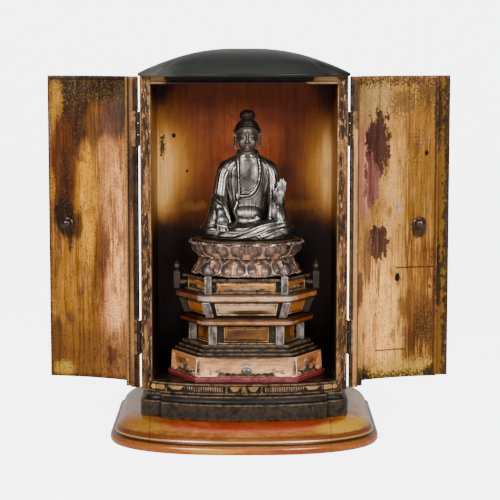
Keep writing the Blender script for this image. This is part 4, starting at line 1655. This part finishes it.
sleeveEdges = [(86, 13, 27), (80, 16, 33), (70, 21, 36.5), (58, 22.5, 38.5), (46, 23.5, 40.5), (34, 26, 43),
               (24, 28, 45.5), (16, 30, 49)]   # height, inner and outer x
frontFolds = [   # points in x and z, width, height
    # robe edges round the open chest
    ([(-10.5, 91), (-10.2, 80), (-9.8, 66), (-9.2, 54), (-9.4, 47)], 1.0, 1.0),
    ([(-13.4, 89), (-13.2, 80), (-12.8, 66), (-12.2, 54), (-12.6, 46)], 0.9, 0.6),
    ([(11.5, 92), (13.4, 84), (14.2, 77), (13.2, 67), (10.8, 59), (6, 51.5), (0, 48.4), (-8.5, 47.6)],
     1.0, 1.05),
    ([(14.4, 90), (16.4, 82), (16.8, 74), (15.6, 64), (12.8, 55), (7.4, 48), (-1, 45), (-9, 44.8)], 0.9, 0.7),
    ([(-8, 52.5), (-4, 56.4), (1, 55.6), (5, 58.4), (10, 57)], 0.8, 0.6),
    ([(-7.5, 50), (-2, 52.6), (4, 52), (8.5, 54.5)], 0.7, 0.5),
    ([(-6.5, 44), (-5.6, 35), (-4.4, 26)], 0.9, 0.6),
    ([(-1.5, 44), (-1, 35), (-1.2, 25)], 0.9, 0.55),
    ([(3.6, 44), (3.2, 35), (2, 26)], 0.9, 0.6),
    ([(8.6, 43), (7.4, 35), (5.2, 27)], 0.9, 0.6),
    ([(-11, 25), (0, 22.6), (12, 25.8)], 0.8, 0.7),
    ([(-11.5, 21), (0, 18.6), (14, 21)], 0.8, 0.7),
    ([(-9.4, 47), (-11.6, 40), (-15, 32), (-12.8, 26), (-11.4, 22), (-14, 17), (-21, 13)], 0.9, 0.9),
    # folds from the shoulders
    ([(-12, 88), (-19, 82), (-22.5, 72), (-22.5, 60), (-20, 48), (-17.5, 38)], 1.3, 0.9),
    ([(-13, 84), (-16.5, 74), (-17, 62), (-15.5, 50), (-15, 41)], 1.2, 0.8),
    ([(15, 88), (20.5, 80), (22, 70), (21.5, 60), (19.5, 50)], 1.2, 0.8),
    ([(24.5, 80), (26.2, 66), (26.6, 52), (26, 38), (24.6, 22)], 1.1, 1.1),
    ([(28.5, 78), (30, 66), (30, 54), (29.5, 44)], 1.1, 0.8),
    # raised sleeve, below the wrist
    ([(31, 42), (29.5, 33), (29, 23)], 1.1, 0.9),
    ([(34, 41), (34.5, 32), (34, 22)], 1.1, 0.9),
    ([(38, 41), (40, 33), (41.5, 23)], 1.1, 0.9),
    ([(41.5, 44), (44, 34), (47, 22)], 1.1, 0.9),
    ([(30, 46), (35, 40.5), (42, 43)], 1.0, 0.8),
    # lowered sleeve, round the wrist
    ([(-40, 49), (-34, 45), (-28, 40), (-24, 31), (-22.5, 21)], 1.1, 1.0),
    ([(-40.5, 45.5), (-35, 41), (-29.5, 37.5), (-26, 33)], 0.9, 0.8),
    ([(-41, 41), (-38, 36), (-37, 28), (-38.5, 19)], 1.1, 0.9),
    ([(-42.5, 38), (-42.5, 29), (-44.5, 20)], 1.0, 0.8),
    # folds across the lap
    ([(47, 20), (36, 19.6), (24, 18.6), (13, 16), (2, 11.5), (-10, 7), (-24, 2.4)], 1.3, 1.3),
    ([(49, 17), (38, 16), (26, 13.4), (16, 9.6), (6, 5.6), (-6, 3), (-18, 1.2)], 1.2, 1.1),
    ([(51, 12.5), (40, 12.4), (30, 9.6), (20, 5.4), (12, 2.2)], 1.2, 1.0),
    ([(51, 6.5), (40, 6.4), (30, 4), (21, 1.6)], 1.1, 0.8),
    ([(-46, 17), (-38, 18.4), (-30, 17), (-20, 15), (-9, 13.6), (2, 14.6)], 1.2, 1.0),
    ([(-49, 12), (-38, 12.6), (-26, 10.6), (-14, 9.6), (-4, 10.4)], 1.2, 1.0),
    ([(-50, 6.5), (-38, 6.6), (-26, 5.2), (-15, 5.4)], 1.1, 0.8),
    ([(12.5, 9.5), (16.5, 5), (23, 1.4)], 0.9, 0.8),
    ([(9, 7), (13.5, 2.8), (17, 1)], 0.9, 0.8),
    ([(-46, 1.8), (-34, 1.2), (-22, 2.2), (-10, 1), (2, 2.4), (12, 1.0), (24, 2.2), (36, 1.2), (46, 1.8)],
     0.9, 0.7),
]


def sleeveLine(side, share, top=80, bottom=18):
    return [(side * (inner + (outer - inner) * share), z) for z, inner, outer in sleeveEdges
            if bottom <= z <= top]


def bodyStrokes():
    front, back = -1, 1
    strokes = [(*fold, front) for fold in frontFolds]
    for share, height in ((0.2, 0.7), (0.42, 0.9), (0.62, 0.7), (0.82, 0.8)):
        strokes.append((sleeveLine(-1, share, 80, 44), 1.3, height, front))
        strokes.append((sleeveLine(1, share, 80, 46), 1.3, height * 0.9, front))
        for side in (-1, 1):
            strokes.append((sleeveLine(side, share), 1.5, height, back))
    for k in range(7):   # the back of the robe, slanting down from one shoulder
        x = 20 - 6.5 * k
        line = [(x, 84), (x - 3, 66), (x - 8 + k, 46), (x - 10 + 2.2 * k, 28), (x * 1.4 - 6 + 3 * k, 14)]
        strokes.append((line, 1.6, 0.9, back))
    for z in (5, 10, 15):
        strokes.append(([(-44, z), (-20, z - 2.5), (4, z - 1), (26, z - 2.5), (46, z)], 1.4, 0.8, back))
    return strokes


headLook = {
    "neckRings": ((96.2, 9.0), (92.6, 9.5), (89.4, 10.2)),
    "ear": [(13.0, -3.2, 113), (13.9, -2.4, 119.5), (14.7, 1.4, 121), (15.0, 4.0, 117.6), (14.4, 3.6, 110),
            (13.8, 1.6, 104), (13.0, -0.4, 100.4)],
    "cap": ((0, 1.6, 119), (14.6, 15.6, 15.4)), "bun": ((0, 2.6, 138.2), (8.9, 8.9, 5.7)), "bunFoot": 134.4,
    "hairLine": (-12.8, 124.8), "hairSlope": 0.88,
}


def headParts():
    look = headLook
    parts = [
        ball((0, 1, 117), (12.2, 13.6, 16.2), 36, 24),
        ball((0, -3.6, 109.6), (10.7, 10.4, 12.4), 36, 24),
        limb([(0, 4, 84), (0, 3, 94), (0, 1.5, 104)], [8.9, 8.6, 8.4], 30),
        ball((0, -10.8, 100.4), (4.2, 2.8, 2.8), 18, 12),
        # nose, lips and the mark on the brow
        limb([(0, -12.6, 118.6), (0, -14.1, 113.6), (0, -15.4, 108.8)], [1.0, 1.15, 1.6], 14),
        ball((0, -15.2, 108.2), (1.7, 1.6, 1.3), 14, 10),
        limb([(-3.1, -12.9, 103.8), (-1.2, -13.9, 104.5), (0, -14.1, 104.2), (1.2, -13.9, 104.5),
              (3.1, -12.9, 103.8)], [0.45, 0.7, 0.65, 0.7, 0.45], 10),
        limb([(-2.6, -12.8, 102.9), (0, -14.0, 102.3), (2.6, -12.8, 102.9)], [0.5, 0.85, 0.5], 10),
        ball((0, -14.0, 121.4), (0.9, 0.7, 0.9), 12, 8),
    ]
    for side in (-1, 1):
        brow = [(side * 1.6, -13.2, 118.0), (side * 4.8, -13.0, 119.9), (side * 9.0, -9.9, 118.3)]
        lid = [(side * 2.2, -12.5, 114.7), (side * 4.9, -13.1, 114.4), (side * 7.9, -10.9, 115.1)]
        parts += [
            ball((side * 5.4, -9.6, 108), (4.6, 3.6, 4.6), 20, 14),
            ball((side * 1.9, -14.0, 107.9), (1.2, 1.3, 1.0), 12, 8),
            limb(brow, [0.6, 0.8, 0.5], 10),
            ball((side * 4.9, -11.2, 115.4), (2.9, 1.9, 1.7), 18, 12),
            limb(lid, [0.35, 0.5, 0.35], 8),
            limb([(side * x, y, z) for x, y, z in look["ear"]], [0.8, 1.1, 1.2, 1.2, 1.2, 1.6, 1.4], 12),
            ball((side * 13.0, 0.8, 110), (1.3, 3.0, 7.0), 16, 12),
        ]
    onceRound = np.linspace(0, math.tau, 33)
    for z, r in look["neckRings"]:
        ring = [(math.cos(a) * r, 3.2 + math.sin(a) * r, z + 1.6 * math.sin(a)) for a in onceRound]
        parts.append(tube(ring, 0.75, 8))
    cap = ball(*look["cap"], 48, 32)
    hairCut = bmesh.ops.bisect_plane(cap, geom=everything(cap), plane_co=(0, *look["hairLine"]),
                                     plane_no=(0, 0.66, 0.75), clear_inner=True)["geom_cut"]
    bmesh.ops.contextual_create(cap, geom=only(bmesh.types.BMEdge, hairCut))
    band = [(math.cos(a) * 8.0, 2.4 + math.sin(a) * 8.0, look["bunFoot"]) for a in onceRound]
    return parts + [cap, ball(*look["bun"], 32, 20), tube(band, 1.1, 8)]


def aboveHairLine(y, z):
    lineY, lineZ = headLook["hairLine"]
    return z - (lineZ - (y - lineY) * headLook["hairSlope"])


def isHair(p):
    x, y, z = p
    ear = abs(x) > 12.4 and z < 121.5 and -4.5 < y < 5
    return z > 100 and aboveHairLine(y, z) > 0.3 and not ear


def waveHair(bm):   # combed waves in bands over the cap and the bun
    bm.normal_update()
    for v in bm.verts:
        x, y, z = v.co
        level = aboveHairLine(y, z)
        if level < 0.4 or z < 100:
            continue
        turn = math.atan2(x, -(y - 2))
        if z > 134.6:
            lift = 0.28 * math.sin(turn * 14 + (z - 134) * 1.1)
        else:
            run = math.hypot(x, y - 2) * 0.9 - (z - 119) * 0.55
            lift = 0.38 * math.sin(run * 2.1 + 0.9 * math.sin(turn * 9))
        v.co += v.normal * lift * min(level / 1.5, 1)


def makeFigure():
    look = figureLook
    body = fuse(bodyParts(), look["voxel"], 4, "bodySkin")
    carve(body, bodyStrokes())
    relax(body, 0.4)
    rim = bmesh.ops.bisect_plane(body, geom=everything(body), plane_co=(0, 0, 0.05), plane_no=(0, 0, 1),
                                 clear_inner=True)["geom_cut"]
    bmesh.ops.holes_fill(body, edges=only(bmesh.types.BMEdge, rim), sides=0)
    head = fuse(headParts(), look["headVoxel"], 4, "headSkin")
    waveHair(head)
    for face in head.faces:
        face.material_index = 1 if isHair(face.calc_center_median()) else 2
    merge(body, head)
    bmesh.ops.translate(body, vec=look["place"], verts=body.verts[:])
    finishPiece(body, "seatedFigure", "figure_bronze", [figureBronze, hairBronze, faceBronze], ["buddha"],
                sharp=180, reach=0.8)


makeFigure()
print("figure made")
